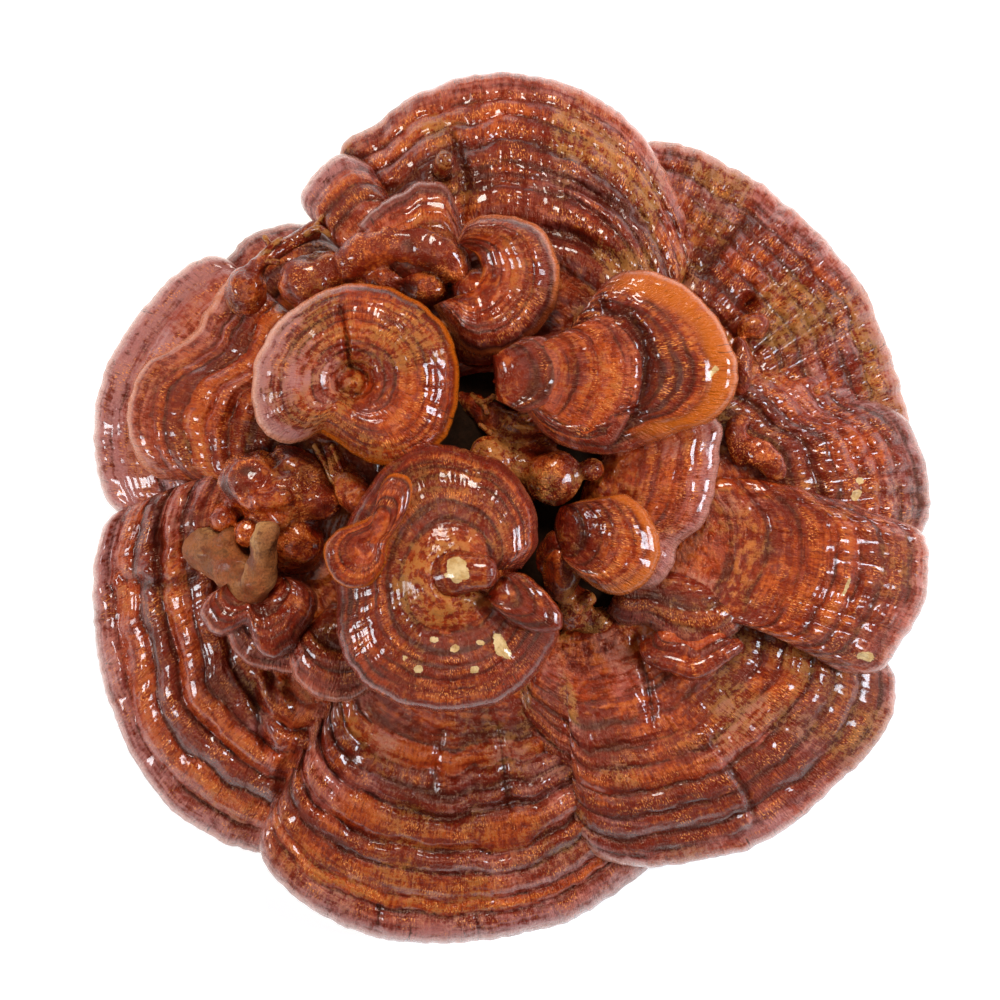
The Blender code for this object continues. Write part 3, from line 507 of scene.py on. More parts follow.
def rounding(distance, edge):
    """How full the shell is this far from its edge: a quarter circle that is full at edge."""
    x = np.clip(distance / edge, 0, 1)
    return np.sqrt(1 - (1 - x) ** 2)


def smooth(low, high, value):
    x = np.clip((value - low) / (high - low), 0, 1)
    return x * x * (3 - 2 * x)


def distance_to_line(x, y, line):
    """Distance in plan from each point to a line of points."""
    best = np.full(x.shape, 1e9)
    for (ax, ay), (bx, by) in zip(line, line[1:]):
        dx, dy = bx - ax, by - ay
        k = np.clip(((x - ax) * dx + (y - ay) * dy) / (dx * dx + dy * dy), 0, 1)
        best = np.minimum(best, np.hypot(x - ax - k * dx, y - ay - k * dy))
    return best


# ------------------------------------------------------------------ cap skins


def edge_shares(count, share, steps=5):
    """Shares from 0 to 1: even, then closing up over the last share as a rounded edge does."""
    even = np.linspace(0, 1 - share, count)
    turn = np.sin(np.linspace(0, 0.5 * np.pi, steps + 1))[1:]
    return np.concatenate([even, 1 - share + share * turn])


class Skin:
    """The upper and lower skin of one cap as grids, rows from root to margin."""

    def __init__(self, cap, sizes, seed):
        self.cap, self.seed = cap, seed
        reach = path_length(cap.margin)
        length = 0.7 * reach / math.pi if cap.whole else np.mean(
            np.linalg.norm(along(cap.margin, (0.2, 0.5, 0.8)) - along(cap.root * 2, (0.2, 0.5, 0.8)), axis=1)
        ) if len(cap.root) == 1 else np.mean(
            np.linalg.norm(along(cap.margin, (0.2, 0.5, 0.8)) - along(cap.root, (0.2, 0.5, 0.8)), axis=1)
        )
        rows = max(14, int(length / sizes.cell))
        columns = max(24, int(0.85 * reach / sizes.cell))
        self.t = edge_shares(rows, cap.edge / length)[:, None]
        if cap.whole:
            self.u = np.arange(columns) / columns
        else:
            half = edge_shares(columns // 2, 2 * cap.edge / reach)
            self.u = np.concatenate([0.5 - 0.5 * half[::-1], 0.5 + 0.5 * half[1:]])
        self.lay_out(sizes.inset)
        self.carve(sizes)

    def lay_out(self, inset):
        """Plan, distances and the smooth middle height."""
        cap, t, u = self.cap, self.t, self.u
        margin = along(cap.margin, u, ring=cap.whole)
        root = np.repeat([cap.root[0]], len(u), axis=0).astype(float) if cap.whole else along(cap.root, u)
        reach = margin - root
        length = np.linalg.norm(reach, axis=1)
        arc = np.linspace(0, path_length(cap.margin), len(u))
        if cap.whole:
            turn = 2 * np.pi * u
            arc = arc[-1] / (2 * np.pi) * np.stack([np.cos(turn), np.sin(turn), 0 * turn], axis=1)
        else:
            arc = np.stack([arc, 0 * arc, 0 * arc], axis=1)
        ragged = inset + 0.45 * (1 + noise(arc, 5, self.seed + 21)) + 0.25 * (1 + noise(arc, 2.0, self.seed + 22))
        margin = margin - reach * (ragged / length)[:, None]
        plan = root + (margin - root) * t[:, :, None]
        if any(cap.bow):
            sideways = np.stack([-reach[:, 1], reach[:, 0]], axis=1) / length[:, None]
            push = cap.bow[1] * u**2 - cap.bow[0] * (1 - u) ** 2
            plan += (np.sin(np.pi * t) * push)[:, :, None] * sideways
        self.plan, self.length = plan, length
        self.to_margin = (1 - t) * length
        full = rounding(self.to_margin, cap.edge)
        middle = along(cap.heights, t[:, 0], even=True) * np.ones(len(u))
        self.to_side = np.full(full.shape, 1e3)
        if not cap.whole:
            steps = np.linalg.norm(np.diff(plan, axis=1), axis=2)
            across = np.concatenate([np.zeros((len(t), 1)), np.cumsum(steps, axis=1)], axis=1)
            self.to_side = np.minimum(across, across[:, -1:] - across)
            full = full * rounding(t * length, cap.edge)
            full = full * rounding(across, cap.edge) * rounding(across[:, -1:] - across, cap.edge)
            middle = middle + t * (cap.sides[0] * (1 - u) ** 2 + cap.sides[1] * u**2)
        self.full, self.middle = full, middle
        crisp = rounding(self.to_margin, 0.55 * cap.edge) / np.maximum(rounding(self.to_margin, cap.edge), 1e-6)
        self.crown = full * np.where(self.to_margin > 0, crisp, 1)
        mean = float(np.mean(length))
        around = path_length(cap.margin)
        if cap.whole:
            radius = around / (2 * np.pi)
            turn = 2 * np.pi * u
            self.grain = np.dstack([radius * np.cos(turn) + 0 * t, radius * np.sin(turn) + 0 * t, mean * t + 0 * u])
        else:
            self.grain = np.dstack([around * u + 0 * t, 0 * u + 0 * t, mean * t + 0 * u])

    def carve(self, sizes):
        """Rings, quilting, wrinkles and the cap's own creases and swellings."""
        cap, seed = self.cap, self.seed
        t = self.t * np.ones(len(self.u))
        g = self.grain
        mean = float(np.mean(self.length))
        wander = 0.026 * noise(g * (1, 1, 0.7), 32, seed) + 0.013 * noise(g * (1, 1, 0.7), 11, seed + 1)
        wander = wander * smooth(0, 0.15, t) * smooth(0, 0.08, 1 - t)
        ring = t + wander
        stops = np.concatenate([[-0.05], cap.rings, [1.0 + cap.edge / mean * 0.35]])
        band = np.clip(np.searchsorted(stops, ring, side="right") - 1, 0, len(stops) - 2)
        low, high = stops[band], stops[band + 1]
        x = np.clip((ring - low) / (high - low), 0, 1)
        hump = 1 - np.abs(2 * x**0.85 - 1) ** 2.1
        size = np.clip((high - low) * mean / 10.0, 0.35, 1.2)
        by_band = np.dstack([g[..., 0], g[..., 1], band * 40.0])
        band_noise = noise(by_band, 26, seed + 2)
        own = 0.5 * lattice(band, 0 * band + 3, 0 * band, seed + 24)
        strength = np.clip(0.95 + 0.85 * band_noise + 0.5 * noise(by_band, 10, seed + 13) + own, 0.1, 2.4)
        settled = 1 - cap.flat * smooth(0.8, 0.45, t)
        relief = 0.95 * cap.roll * size * strength * (hump - 0.6) * settled
        for share, depth in cap.deep:
            relief = relief - depth * (0.7 + 0.5 * strength) * 0.75 * np.exp(-(((ring - share) * mean / 2.3) ** 2))
        finer = np.sin(2 * np.pi * (ring * mean / 2.4 + 0.9 * noise(g * (1, 1, 0.5), 14, seed + 3)))
        fine_mask = smooth(-0.6, 0.5, noise(g * (1, 1, 0.8), 20, seed + 4))
        relief = relief + 0.2 * finer * fine_mask
        fan = smooth(0.12, 0.55, t)
        streak = noise(g * (1, 1, 0.25), 2.4, seed + 5) + 0.9 * noise(g * (1, 1, 0.4), 1.25, seed + 6)
        calm = 0.35 + 0.65 * smooth(-0.5, 0.4, noise(g, 24, seed + 14))
        relief = relief + sizes.wrinkle * streak * (0.5 + 0.8 * hump) * calm * fan
        furrow = noise(g * (1, 1, 0.18), 12, seed + 7) + 0.7 * noise(g * (1, 1, 0.5), 5.5, seed + 15) * hump
        relief = relief + 0.6 * cap.roll**0.5 * furrow * fan
        spot = np.dstack([self.plan, self.middle])
        relief = relief + 0.5 * cloud(spot, 9, seed + 8) + 0.22 * noise(spot, 2.4, seed + 23) * (1.2 - fan)
        if cap.quilt:
            cushion = np.sin(2 * np.pi * (g[..., 0] / 9.5 + 0.35 * noise(g * (1, 1, 0.5), 20, seed + 9)))
            relief = relief + cap.quilt * 0.9 * cushion * (0.3 + 0.7 * hump) * smooth(0.4, 0.8, t)
        relief = relief * sizes.ring_height
        self.flake, powder = np.zeros(t.shape), np.zeros(t.shape)
        x_mm, y_mm = self.plan[..., 0], self.plan[..., 1]
        ragged = 1 + 0.35 * noise(np.dstack([x_mm, y_mm, 0 * x_mm]), 2.2, seed + 10)
        for mark in cap.marks:
            if isinstance(mark, Crease):
                near = distance_to_line(x_mm, y_mm, mark.line) / mark.width
                relief = relief - mark.depth * np.exp(-(near**2))
                # painted shade: pressed creases lower the hump, which the skins turn into the dark groove colour
                hump = hump * (1 - 0.8 * (mark.depth > 0) * np.exp(-(near**2)))
            elif isinstance(mark, Swell):
                near = np.hypot(x_mm - mark.x, y_mm - mark.y) / mark.radius
                relief = relief + mark.height * (1 - smooth(0, 1, near))
                powder = np.maximum(powder, smooth(4, 8, mark.height) * smooth(1, 0.5, near))
            else:
                dx, dy = x_mm - mark.x, y_mm - mark.y
                a = dx * math.cos(mark.turn) + dy * math.sin(mark.turn)
                b = dy * math.cos(mark.turn) - dx * math.sin(mark.turn)
                near = np.hypot(a / mark.long, b / mark.wide) * ragged
                self.flake = np.maximum(self.flake, 1 - smooth(0.4, 1.5, near))
        relief = relief - 0.15 * self.flake
        swell = 0.9 * cloud(np.dstack([self.plan, 0 * x_mm]), 38, seed + 11)
        swell = swell + 1.1 * noise(g * (1, 1, 0.2), 19, seed + 16) * smooth(26, 2, self.to_margin) * smooth(0, 1, 3 * t)
        self.top = self.middle + swell + cap.over * self.crown + relief * self.full
        pores = 0.25 * noise(np.dstack([self.plan, 0 * x_mm]), 5, seed + 12)
        self.bottom = self.middle + swell - (cap.under + pores) * self.full
        self.hump, self.ring = hump, ring
        self.band = 0.5 + 0.5 * lattice(band, 0 * band, 0 * band, seed + 17) * np.ones(t.shape)
        uneven = noise(g, 14, seed + 18)
        wide = max(cap.rim, 1e-3) * (1 + 0.3 * uneven)
        self.rim = smooth(1.25, 0.75, self.to_margin / wide) * (cap.rim > 0)
        self.rim = self.rim * self.between(cap.young)
        pale = smooth(11, 4, self.to_margin * (1 + 0.35 * uneven)) + 0.7 * smooth(0.2, 0.8, band_noise + 0.6 * uneven)
        self.bloom = np.clip(cap.bloom * pale + 3 * max(0.0, cap.bloom - 0.65), 0, 1) * self.between(cap.misty)
        patchy = noise(g * (1, 1, 1.6), 26, seed + 19) + 0.6 * uneven + 0.8 * (self.band - 0.5)
        self.dust = np.maximum(cap.dust * smooth(-0.25, 0.75, patchy), 0.9 * powder)

    def between(self, span):
        """A mask along the margin that is soft at both ends of span."""
        if span == (0, 1):
            return 1.0
        return smooth(span[0] - 0.04, span[0] + 0.04, self.u) * smooth(span[1] + 0.04, span[1] - 0.04, self.u)

    def build(self, built, layers):
        """Adds the closed shell to a bmesh and fills its layers."""
        rows, columns = self.top.shape
        keep = sorted(set(range(0, rows - 6, 4)) | set(range(rows - 6, rows)) | {0})
        x, y = self.plan[..., 0], self.plan[..., 1]

        def vert(i, j, z, under):
            v = built.verts.new((x[i, j] * MM, y[i, j] * MM, z[i, j] * MM))
            v[layers["grain"]] = Vector(self.grain[i, j])
            v[layers["ring"]] = (self.hump[i, j], self.ring[i, j], self.band[i, j])
            v[layers["edge"]] = (self.to_margin[i, j], under, self.flake[i, j])
            v[layers["tint"]] = (self.rim[i, j], self.bloom[i, j], self.dust[i, j])
            return v

        centre = self.cap.whole
        first = vert(0, 0, self.top, 0.0) if centre else None
        upper = [
            [first] * columns if centre and i == 0 else [vert(i, j, self.top, 0.0) for j in range(columns)]
            for i in range(rows)
        ]
        base = vert(0, 0, self.bottom, 1.0) if centre else None
        lower = {}
        for i in keep:
            if i == rows - 1 or (not centre and i == 0):
                lower[i] = upper[i]
            elif centre and i == 0:
                lower[i] = [base] * columns
            else:
                inner = range(0 if centre else 1, columns if centre else columns - 1)
                row = [vert(i, j, self.bottom, 1.0) for j in inner]
                lower[i] = row if centre else [None, *row, None]
        for i in range(rows - 1):
            for j in range(columns if centre else columns - 1):
                k = (j + 1) % columns
                self.face(built, (upper[i][j], upper[i + 1][j], upper[i + 1][k], upper[i][k]))
        for a, b in zip(keep, keep[1:]):
            for j in range(columns if centre else columns - 1):
                k = (j + 1) % columns
                if centre or (0 < j and k < columns - 1):
                    self.face(built, (lower[a][k], lower[b][k], lower[b][j], lower[a][j]))
                else:
                    self.side(built, upper, lower, a, b, j, k)

    def side(self, built, upper, lower, a, b, j, k):
        """One lower cell at the side edge, which meets every row of the upper skin."""
        outer = j == 0
        edge_column = 0 if outer else self.top.shape[1] - 1
        rim = [upper[i][edge_column] for i in range(a, b + 1)]
        inner_a, inner_b = (lower[a][k], lower[b][k]) if outer else (lower[a][j], lower[b][j])
        corners = [*rim, inner_b, inner_a] if outer else [*rim[::-1], inner_a, inner_b]
        self.face(built, corners[::-1])

    @staticmethod
    def face(built, corners):
        ring = list(dict.fromkeys(corners))
        if len(ring) > 2:
            built.faces.new(ring)


def skin_layers(built):
    return {name: built.verts.layers.float_vector.new(name) for name in ("grain", "ring", "edge", "tint")}


def stalk_into(built, layers, stalk, seed, tint=(0.0, 0.0, 0.8), hump=0.6):
    """A fine round stalk with rounded ends and a wrinkled skin, added to a bmesh."""
    line = np.array(stalk.path, float)
    length = path_length(line[:, :3])
    rings = max(10, int(length / 1.0))
    sides = max(10, int(2 * np.pi * line[:, 3].mean() / 1.0))
    fine = along(stalk.path, np.linspace(0, 1, rings + 1))
    centres, radii = fine[:, :3], fine[:, 3]
    across = Vector((0, 0, 1)).cross(Vector(centres[1] - centres[0]))
    across = across if across.length > 1e-6 else Vector((1, 0, 0))
    rows = []
    travelled = np.concatenate([[0], np.cumsum(np.linalg.norm(np.diff(centres, axis=0), axis=1))])
    for i, centre in enumerate(centres):
        heading = Vector(centres[min(i + 1, rings)] - centres[max(i - 1, 0)]).normalized()
        across = (across - heading * across.dot(heading)).normalized()
        other = heading.cross(across)
        end = min(travelled[i], length - travelled[i])
        taper = math.sqrt(max(0.0, 1 - (1 - min(1.0, end / (0.7 * radii[i]) + 0.02)) ** 2))
        row = []
        for k in range(sides):
            angle = 2 * math.pi * k / sides
            way = math.cos(angle) * across + math.sin(angle) * other
            spot = Vector(centre) + float(radii[i]) * way
            rough = 0.5 * float(cloud(np.array(spot), 7, seed)) + 0.2 * float(noise(np.array(spot), 1.9, seed + 3))
            rough *= min(1.0, float(radii[i]) / 4)
            point = Vector(centre) + (float(radii[i]) * taper + rough * taper) * way
            v = built.verts.new(point * MM)
            v[layers["grain"]] = Vector((radii[i] * math.cos(angle), radii[i] * math.sin(angle), travelled[i]))
            v[layers["ring"]] = (hump, 0.5, 0.5)
            chipped = 0.0
            for x, y, z, size in stalk.chips:
                away = math.dist(point, (x, y, z)) * (1 + 0.3 * float(noise(np.array(point), 2, seed + 7)))
                chipped = max(chipped, float(smooth(1.05, 0.8, away / size)))
            v[layers["edge"]] = (40.0, 0.0, chipped)
            v[layers["tint"]] = tint
            row.append(v)
        rows.append(row)
    for a, b in zip(rows, rows[1:]):
        for k in range(sides):
            n = (k + 1) % sides
            built.faces.new((a[k], a[n], b[n], b[k]))
    built.faces.new(rows[0][::-1])
    built.faces.new(rows[-1])


def shown(name, mesh_made, skin, *nodes):
    """Links a piece, shades it smooth and ties it to the frame."""
    piece = bpy.data.objects.new(name, mesh_made)
    bpy.context.scene.collection.objects.link(piece)
    mesh_made.shade_smooth()
    mesh_made.materials.clear()
    mesh_made.materials.append(SKINS[skin])
    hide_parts(*nodes)
    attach(piece, "root")
    return piece


def mesh_from(built, name):
    bmesh.ops.recalc_face_normals(built, faces=built.faces)
    made = bpy.data.meshes.new(name)
    built.to_mesh(made)
    built.free()
    return made


def grow_cap(cap, sizes, seed):
    built = bmesh.new()
    layers = skin_layers(built)
    Skin(cap, sizes, seed).build(built, layers)
    for k, extra in enumerate(cap.extras):
        stalk_into(built, layers, extra, seed + 50 + k, tint=(0.0, 0.0, 0.6 * cap.dust))
    node, _, part = cap.name.partition("/")
    name = (part or node) + "_skin"
    return shown(name, mesh_from(built, name), cap.skin, node)


# ------------------------------------------------------------------ clusters and stem


def grow_cluster(cluster, seed):
    """Lobes and stalks blended into one skin, then wrinkled."""
    built = bmesh.new()
    layers = skin_layers(built)
    for k, growth in enumerate(cluster.growths):
        if isinstance(growth, Stalk):
            stalk_into(built, layers, growth, seed + k)
            continue
        place = Matrix.Translation(Vector(growth.centre) * MM) @ Matrix.Rotation(growth.turn, 4, "Z")
        place = place @ Matrix.Diagonal((*(h * MM for h in growth.half), 1))
        bmesh.ops.create_uvsphere(built, u_segments=40, v_segments=24, radius=1.0, matrix=place)
    rough = mesh_from(built, cluster.name + "_rough")
    blank = bpy.data.objects.new("rough", rough)
    bpy.context.scene.collection.objects.link(blank)
    blend = blank.modifiers.new("blend", "REMESH")
    blend.mode = "VOXEL"
    blend.voxel_size = cluster.voxel * MM
    soften = blank.modifiers.new("soften", "SMOOTH")
    soften.factor, soften.iterations = 0.5, 5
    made = bpy.data.meshes.new_from_object(blank.evaluated_get(bpy.context.evaluated_depsgraph_get()))
    bpy.data.objects.remove(blank)
    made.name = cluster.name + "_skin"
    count = len(made.vertices)
    points = np.empty(count * 3)
    made.vertices.foreach_get("co", points)
    points = points.reshape(-1, 3) / MM
    normals = np.empty(count * 3)
    made.vertices.foreach_get("normal", normals)
    normals = normals.reshape(-1, 3)
    knobs = 1 - 2 * np.abs(noise(points, 7, seed + 9))
    push = 0.5 * cloud(points, 9, seed) + 0.7 * knobs + 0.25 * noise(points, 2.6, seed + 5)
    push = push + 0.12 * noise(points, 1.3, seed + 6) - 0.6
    moved = (points + normals * push[:, None]) * MM
    made.vertices.foreach_set("co", moved.ravel())
    # the hump mixes the knobs with how far each point faces up, so the skins paint up-facing sides lighter (painted
    # light) and down-facing sides darker (painted shade)
    hump = smooth(-0.7, 0.9, knobs + 0.5 * normals[:, 2])
    uneven = noise(points, 11, seed + 10)
    for name, rows in (
        ("grain", points),
        ("ring", np.stack([hump, 0 * hump + 0.5, 0.5 + 0.5 * noise(points, 14, seed + 8)], axis=1)),
        ("edge", np.stack([0 * hump + 40, 0 * hump, 0 * hump], axis=1)),
        ("tint", np.stack([0 * hump + cluster.red, 0 * hump, cluster.dust * smooth(-0.3, 0.6, uneven)], axis=1)),
    ):
        layer = made.attributes.new(name, "FLOAT_VECTOR", "POINT")
        layer.data.foreach_set("vector", np.ascontiguousarray(rows, dtype=np.float32).ravel())
    made.update()
    if cluster.twigs:
        built = bmesh.new()
        built.from_mesh(made)
        layers = {name: built.verts.layers.float_vector[name] for name in ("grain", "ring", "edge", "tint")}
        for k, twig in enumerate(cluster.twigs):
            stalk_into(built, layers, Stalk(twig), seed + 60 + k, tint=(0.0, 0.0, 1.0), hump=1.0)
        bmesh.ops.recalc_face_normals(built, faces=built.faces)
        built.to_mesh(made)
        built.free()
    return shown(cluster.name + "_skin", made, cluster.skin, cluster.name)


def grow_stem():
    """The shared stem: a furrowed stump with a flat sawn foot."""
    built = bmesh.new()
    layers = skin_layers(built)
    sides, rows = 200, []
    profile = along(STEM_LEVELS, np.linspace(0, 1, 70))
    for height, radius in profile:
        row = []
        for k in range(sides):
            angle = 2 * math.pi * k / sides
            wave = sum(size * math.cos(n * angle + phase) for n, size, phase in STEM_LOBES)
            spot = np.array([radius * math.cos(angle), radius * math.sin(angle), height * 0.3])
            furrow = float(noise(spot, 6, 5) + 0.5 * noise(spot, 2.5, 6)) * min(1.0, height / 4) - 0.9
            r = radius + wave + 0.7 * furrow
            v = built.verts.new((r * math.cos(angle) * MM, r * math.sin(angle) * MM, max(height, 0) * MM))
            v[layers["grain"]] = Vector((r * math.cos(angle), r * math.sin(angle), height))
            v[layers["ring"]] = (0.5 + 0.5 * furrow, height / 57, 0.4)
            v[layers["edge"]] = (40.0, 0.0, 0.0)
            v[layers["tint"]] = (0.0, 0.0, 0.5)
            row.append(v)
        rows.append(row)
    for a, b in zip(rows, rows[1:]):
        for k in range(sides):
            n = (k + 1) % sides
            built.faces.new((a[k], a[n], b[n], b[k]))
    built.faces.new(rows[0][::-1])
    built.faces.new(rows[-1])
    return shown("stem_base_skin", mesh_from(built, "stem_base_skin"), "stem_dark", "stem_base")


# ------------------------------------------------------------------ shader expressions


class Value:
    """A socket of a node tree that can be used in arithmetic."""

    def __init__(self, tree, socket):
        self.tree, self.socket = tree, socket

    def math(self, operation, *others, **settings):
        return self.tree.node("ShaderNodeMath", {"operation": operation, **settings}, [self, *others])

    def __add__(self, other):
        return self.math("ADD", other)

    def __sub__(self, other):
        return self.math("SUBTRACT", other)

    def __mul__(self, other):
        return self.math("MULTIPLY", other)

    def __rsub__(self, other):
        return self.tree.node("ShaderNodeMath", {"operation": "SUBTRACT"}, [other, self])

    def __truediv__(self, other):
        return self.math("DIVIDE", other)

    __radd__, __rmul__ = __add__, __mul__

    def clamp(self):
        return self.math("ADD", 0.0, use_clamp=True)


class Tree:
    """Builds one material's nodes."""

    def __init__(self, name):
        material = bpy.data.materials.new(name)
        material.use_nodes = True
        self.material, self.nodes, self.links = material, material.node_tree.nodes, material.node_tree.links
        self.shader = self.nodes["Principled BSDF"]

    def node(self, kind, settings=None, values=(), out=0):
        made = self.nodes.new(kind)
        for key, value in (settings or {}).items():
            if key == "stops":
                ramp = made.color_ramp
                while len(ramp.elements) < len(value):
                    ramp.elements.new(0.5)
                for element, (place, colour) in zip(ramp.elements, value):
                    element.position, element.color = place, (*colour, 1.0)
            else:
                setattr(made, key, value)
        pairs = values.items() if isinstance(values, dict) else enumerate(values)
        for key, value in pairs:
            self.put(made.inputs[key], value)
        return Value(self, made.outputs[out])

    def put(self, socket, value):
        if isinstance(value, Value):
            self.links.new(value.socket, socket)
        elif value is not None:
            size = len(socket.default_value) if hasattr(socket.default_value, "__len__") else 0
            socket.default_value = (*value, 1.0)[:size] if size else value

    def mix(self, share, a, b, blend="MIX"):
        return self.node("ShaderNodeMix", {"data_type": "RGBA", "blend_type": blend, "clamp_factor": True},
                         {0: share, 6: a, 7: b}, out=2)

    def stretch(self, vector, scale):
        return self.node("ShaderNodeVectorMath", {"operation": "MULTIPLY"}, [vector, scale])

    def grit(self, vector, scale, detail=3.0, rough=0.55, shift=0.0):
        return self.node("ShaderNodeTexNoise", {"noise_dimensions": "3D"},
                         {"Vector": vector, "Scale": scale, "Detail": detail, "Roughness": rough, "Distortion": shift})

    def between(self, value, low, high):
        return self.node("ShaderNodeMapRange", {"interpolation_type": "SMOOTHSTEP"},
                         {0: value, 1: low, 2: high, 3: 0.0, 4: 1.0})

    def attribute(self, name):
        made = self.nodes.new("ShaderNodeAttribute")
        made.attribute_name = name
        return Value(self, made.outputs["Vector"])

    def split(self, vector):
        made = self.nodes.new("ShaderNodeSeparateXYZ")
        self.links.new(vector.socket, made.inputs[0])
        return [Value(self, made.outputs[k]) for k in range(3)]

    def finish(self, colour, roughness, bump_height, coat, coat_roughness, sheen=0.38):
        """Wires the skin: a warm sheen from the bumpy skin under a smooth clear coat."""
        shader = self.shader
        self.put(shader.inputs["Base Color"], colour)
        self.put(shader.inputs["Roughness"], roughness)
        self.put(shader.inputs["Coat Weight"], coat)
        shader.inputs["Coat Roughness"].default_value = coat_roughness
        shader.inputs["Specular IOR Level"].default_value = sheen
        shader.inputs["Specular Tint"].default_value = (1.0, 0.58, 0.34, 1.0)
        bump = self.node("ShaderNodeBump", {}, {"Strength": 1.0, "Distance": 0.0005, "Height": bump_height})
        self.put(shader.inputs["Normal"], bump)
        return self.material


SKINS = {}


def lacquer(name, colours):
    """Ringed, glossy reishi skin over a pale pored underside."""
    tree = Tree(name)
    grain = tree.attribute("grain")
    hump, ring, band = tree.split(tree.attribute("ring"))
    edge, under, flake = tree.split(tree.attribute("edge"))
    young, bloom, dust = tree.split(tree.attribute("tint"))
    place = tree.stretch(tree.node("ShaderNodeTexCoord", {}, {}, out=3), (1000.0, 1000.0, 1000.0))
    streaks = tree.grit(tree.stretch(grain, (1.0, 1.0, 0.28)), 0.75, 3.0, 0.6)
    rings = tree.grit(tree.stretch(grain, (0.035, 0.035, 1.0)), 0.5, 3.0, 0.6)
    blotch = tree.grit(place, 0.055, 4.0, 0.6)
    sparkle = tree.grit(tree.stretch(grain, (1.0, 1.0, 0.55)), 1.7, 1.0, 0.5)
    mottle = tree.grit(place, 0.3, 4.0, 0.6)
    fan = tree.between(ring, 0.2, 0.6)
    streaks = mottle + (streaks - mottle) * fan
    sparkle = mottle + (sparkle - mottle) * fan
    # skin: maroon grooves, red-brown flanks, orange-tan crests; the dark grooves are partly the real maroon and partly
    # painted shade
    tone = hump * 0.62 + (rings - 0.5) * 1.2 + (blotch - 0.5) * 1.2 + (band - 0.5) * 0.5 + 0.1
    hue = tree.between((mottle - 0.5) * 0.9 + (rings - 0.5) * 0.8 + (band - 0.5) * 0.5 + blotch, 0.42, 0.78)
    body = tree.mix(hue, colours.blood, colours.lacquer)
    skin = tree.mix(tree.between(tone, 0.0, 0.55), colours.groove_and_shade, body)
    # painted highlight: the lit mask pushes the crests towards the crest colour
    lit = tree.between(tone + (streaks - 0.5) * 1.7 + (mottle - 0.5) * 0.7, 0.6, 1.15)
    skin = tree.mix(lit * 0.85, skin, colours.crest_and_highlight)
    grains = tree.grit(place, 1.1, 2.0, 0.7)
    skin = tree.mix(tree.between(grains + (streaks - 0.5) * 0.8, 0.46, 0.3) * 0.45, skin, colours.groove_and_shade)
    # ochre dust lies in streaky patches on some bands
    patches = (mottle - 0.5) * 2.6 + (streaks - 0.5) * 1.6 + (rings - 0.5) * 1.6 + (grains - 0.5) * 2.0
    dusty = (tree.between(patches + dust * 0.45, 0.1, 0.6) * (dust * 0.62 + 0.12)).clamp()
    skin = tree.mix(dusty, skin, colours.dust)
    # mauve bloom
    wisps = mottle + (rings - 0.5) * 1.3 + (streaks - 0.5) * 0.8 + (blotch - 0.5) * 0.9
    veil = tree.between(wisps + bloom * 0.2, 0.38, 0.85)
    skin = tree.mix((veil * bloom * 1.4).clamp() * 0.8, skin, colours.bloom)
    # painted glints: golden specks of painted highlight on the crests
    painted_glint = tree.between(sparkle, 0.56, 0.63) * tree.between(hump + (blotch - 0.5) * 2.0 + (rings - 0.5), 0.45, 0.85)
    clumps = tree.grit(tree.stretch(grain, (0.5, 0.5, 1.0)), 0.16, 2.0, 0.5)
    painted_glint = painted_glint * tree.between(edge, 2.0, 7.0) * fan * tree.between(clumps, 0.45, 0.62)
    skin = tree.mix(painted_glint * 0.8, skin, colours.painted_glint)
    # orange young margin, then a thin cream lip
    orange = tree.mix(tree.between(mottle + (streaks - 0.5) * 0.5, 0.5, 0.8) * 0.6, colours.rim, colours.lacquer)
    skin = tree.mix(young, skin, orange)
    skin = tree.mix(tree.between(edge + (streaks - 0.5) * 2, 3.6, 0.4) * bloom * 0.55, skin, (0.6, 0.3, 0.21))
    # short dark cracks across the margin
    cracks = tree.grit(tree.stretch(grain, (1.0, 1.0, 0.12)), 0.28, 2.0, 0.5)
    line = tree.between((cracks - 0.5) * (cracks - 0.5), 0.00004, 0.0) * tree.between(edge, 9.0, 4.0)
    line = line * tree.between(blotch, 0.44, 0.56)
    skin = tree.mix(line * 0.85, skin, (0.03, 0.008, 0.004))
    chip = tree.between(flake + (grains - 0.5) * 0.9 + (mottle - 0.5) * 0.5, 0.42, 0.52)
    flesh = tree.mix(tree.between(mottle, 0.35, 0.7), colours.flesh, (0.45, 0.25, 0.08))
    skin = tree.mix(chip, skin, flesh)
    # underside: cream pores with tan growth bands
    pores = tree.node("ShaderNodeTexVoronoi", {"feature": "F1"}, {"Vector": place, "Scale": 2.2})
    below = tree.mix(tree.between(rings, 0.4, 0.62), (0.5, 0.34, 0.17), (0.36, 0.2, 0.09))
    below = tree.mix(tree.between(pores, 0.5, 0.15) * 0.3, below, (0.2, 0.1, 0.05))
    below = tree.mix(tree.between(edge, 3.0, 0.5) * 0.8, below, colours.lacquer)
    is_under = tree.between(under, 0.3, 0.7)
    colour = tree.mix(is_under, skin, below)
    dull = dusty * 0.2 + chip * 0.3 + is_under * 0.35 + (mottle - 0.5) * 0.3 + bloom * 0.08
    shine = ((1 - dusty * 0.75) * (1 - is_under) * tree.between(mottle + (blotch - 0.5) * 0.6, 0.25, 0.55)).clamp()
    shine = shine * (tree.between(hump, 0.0, 0.4) * 0.75 + 0.25)
    height = streaks * 1.5 + sparkle * 1.1 + mottle * 0.7 + rings * 1.0 + grains * 0.4
    return tree.finish(colour, (dull + 0.2).clamp(), height, shine * 0.65, 0.09)


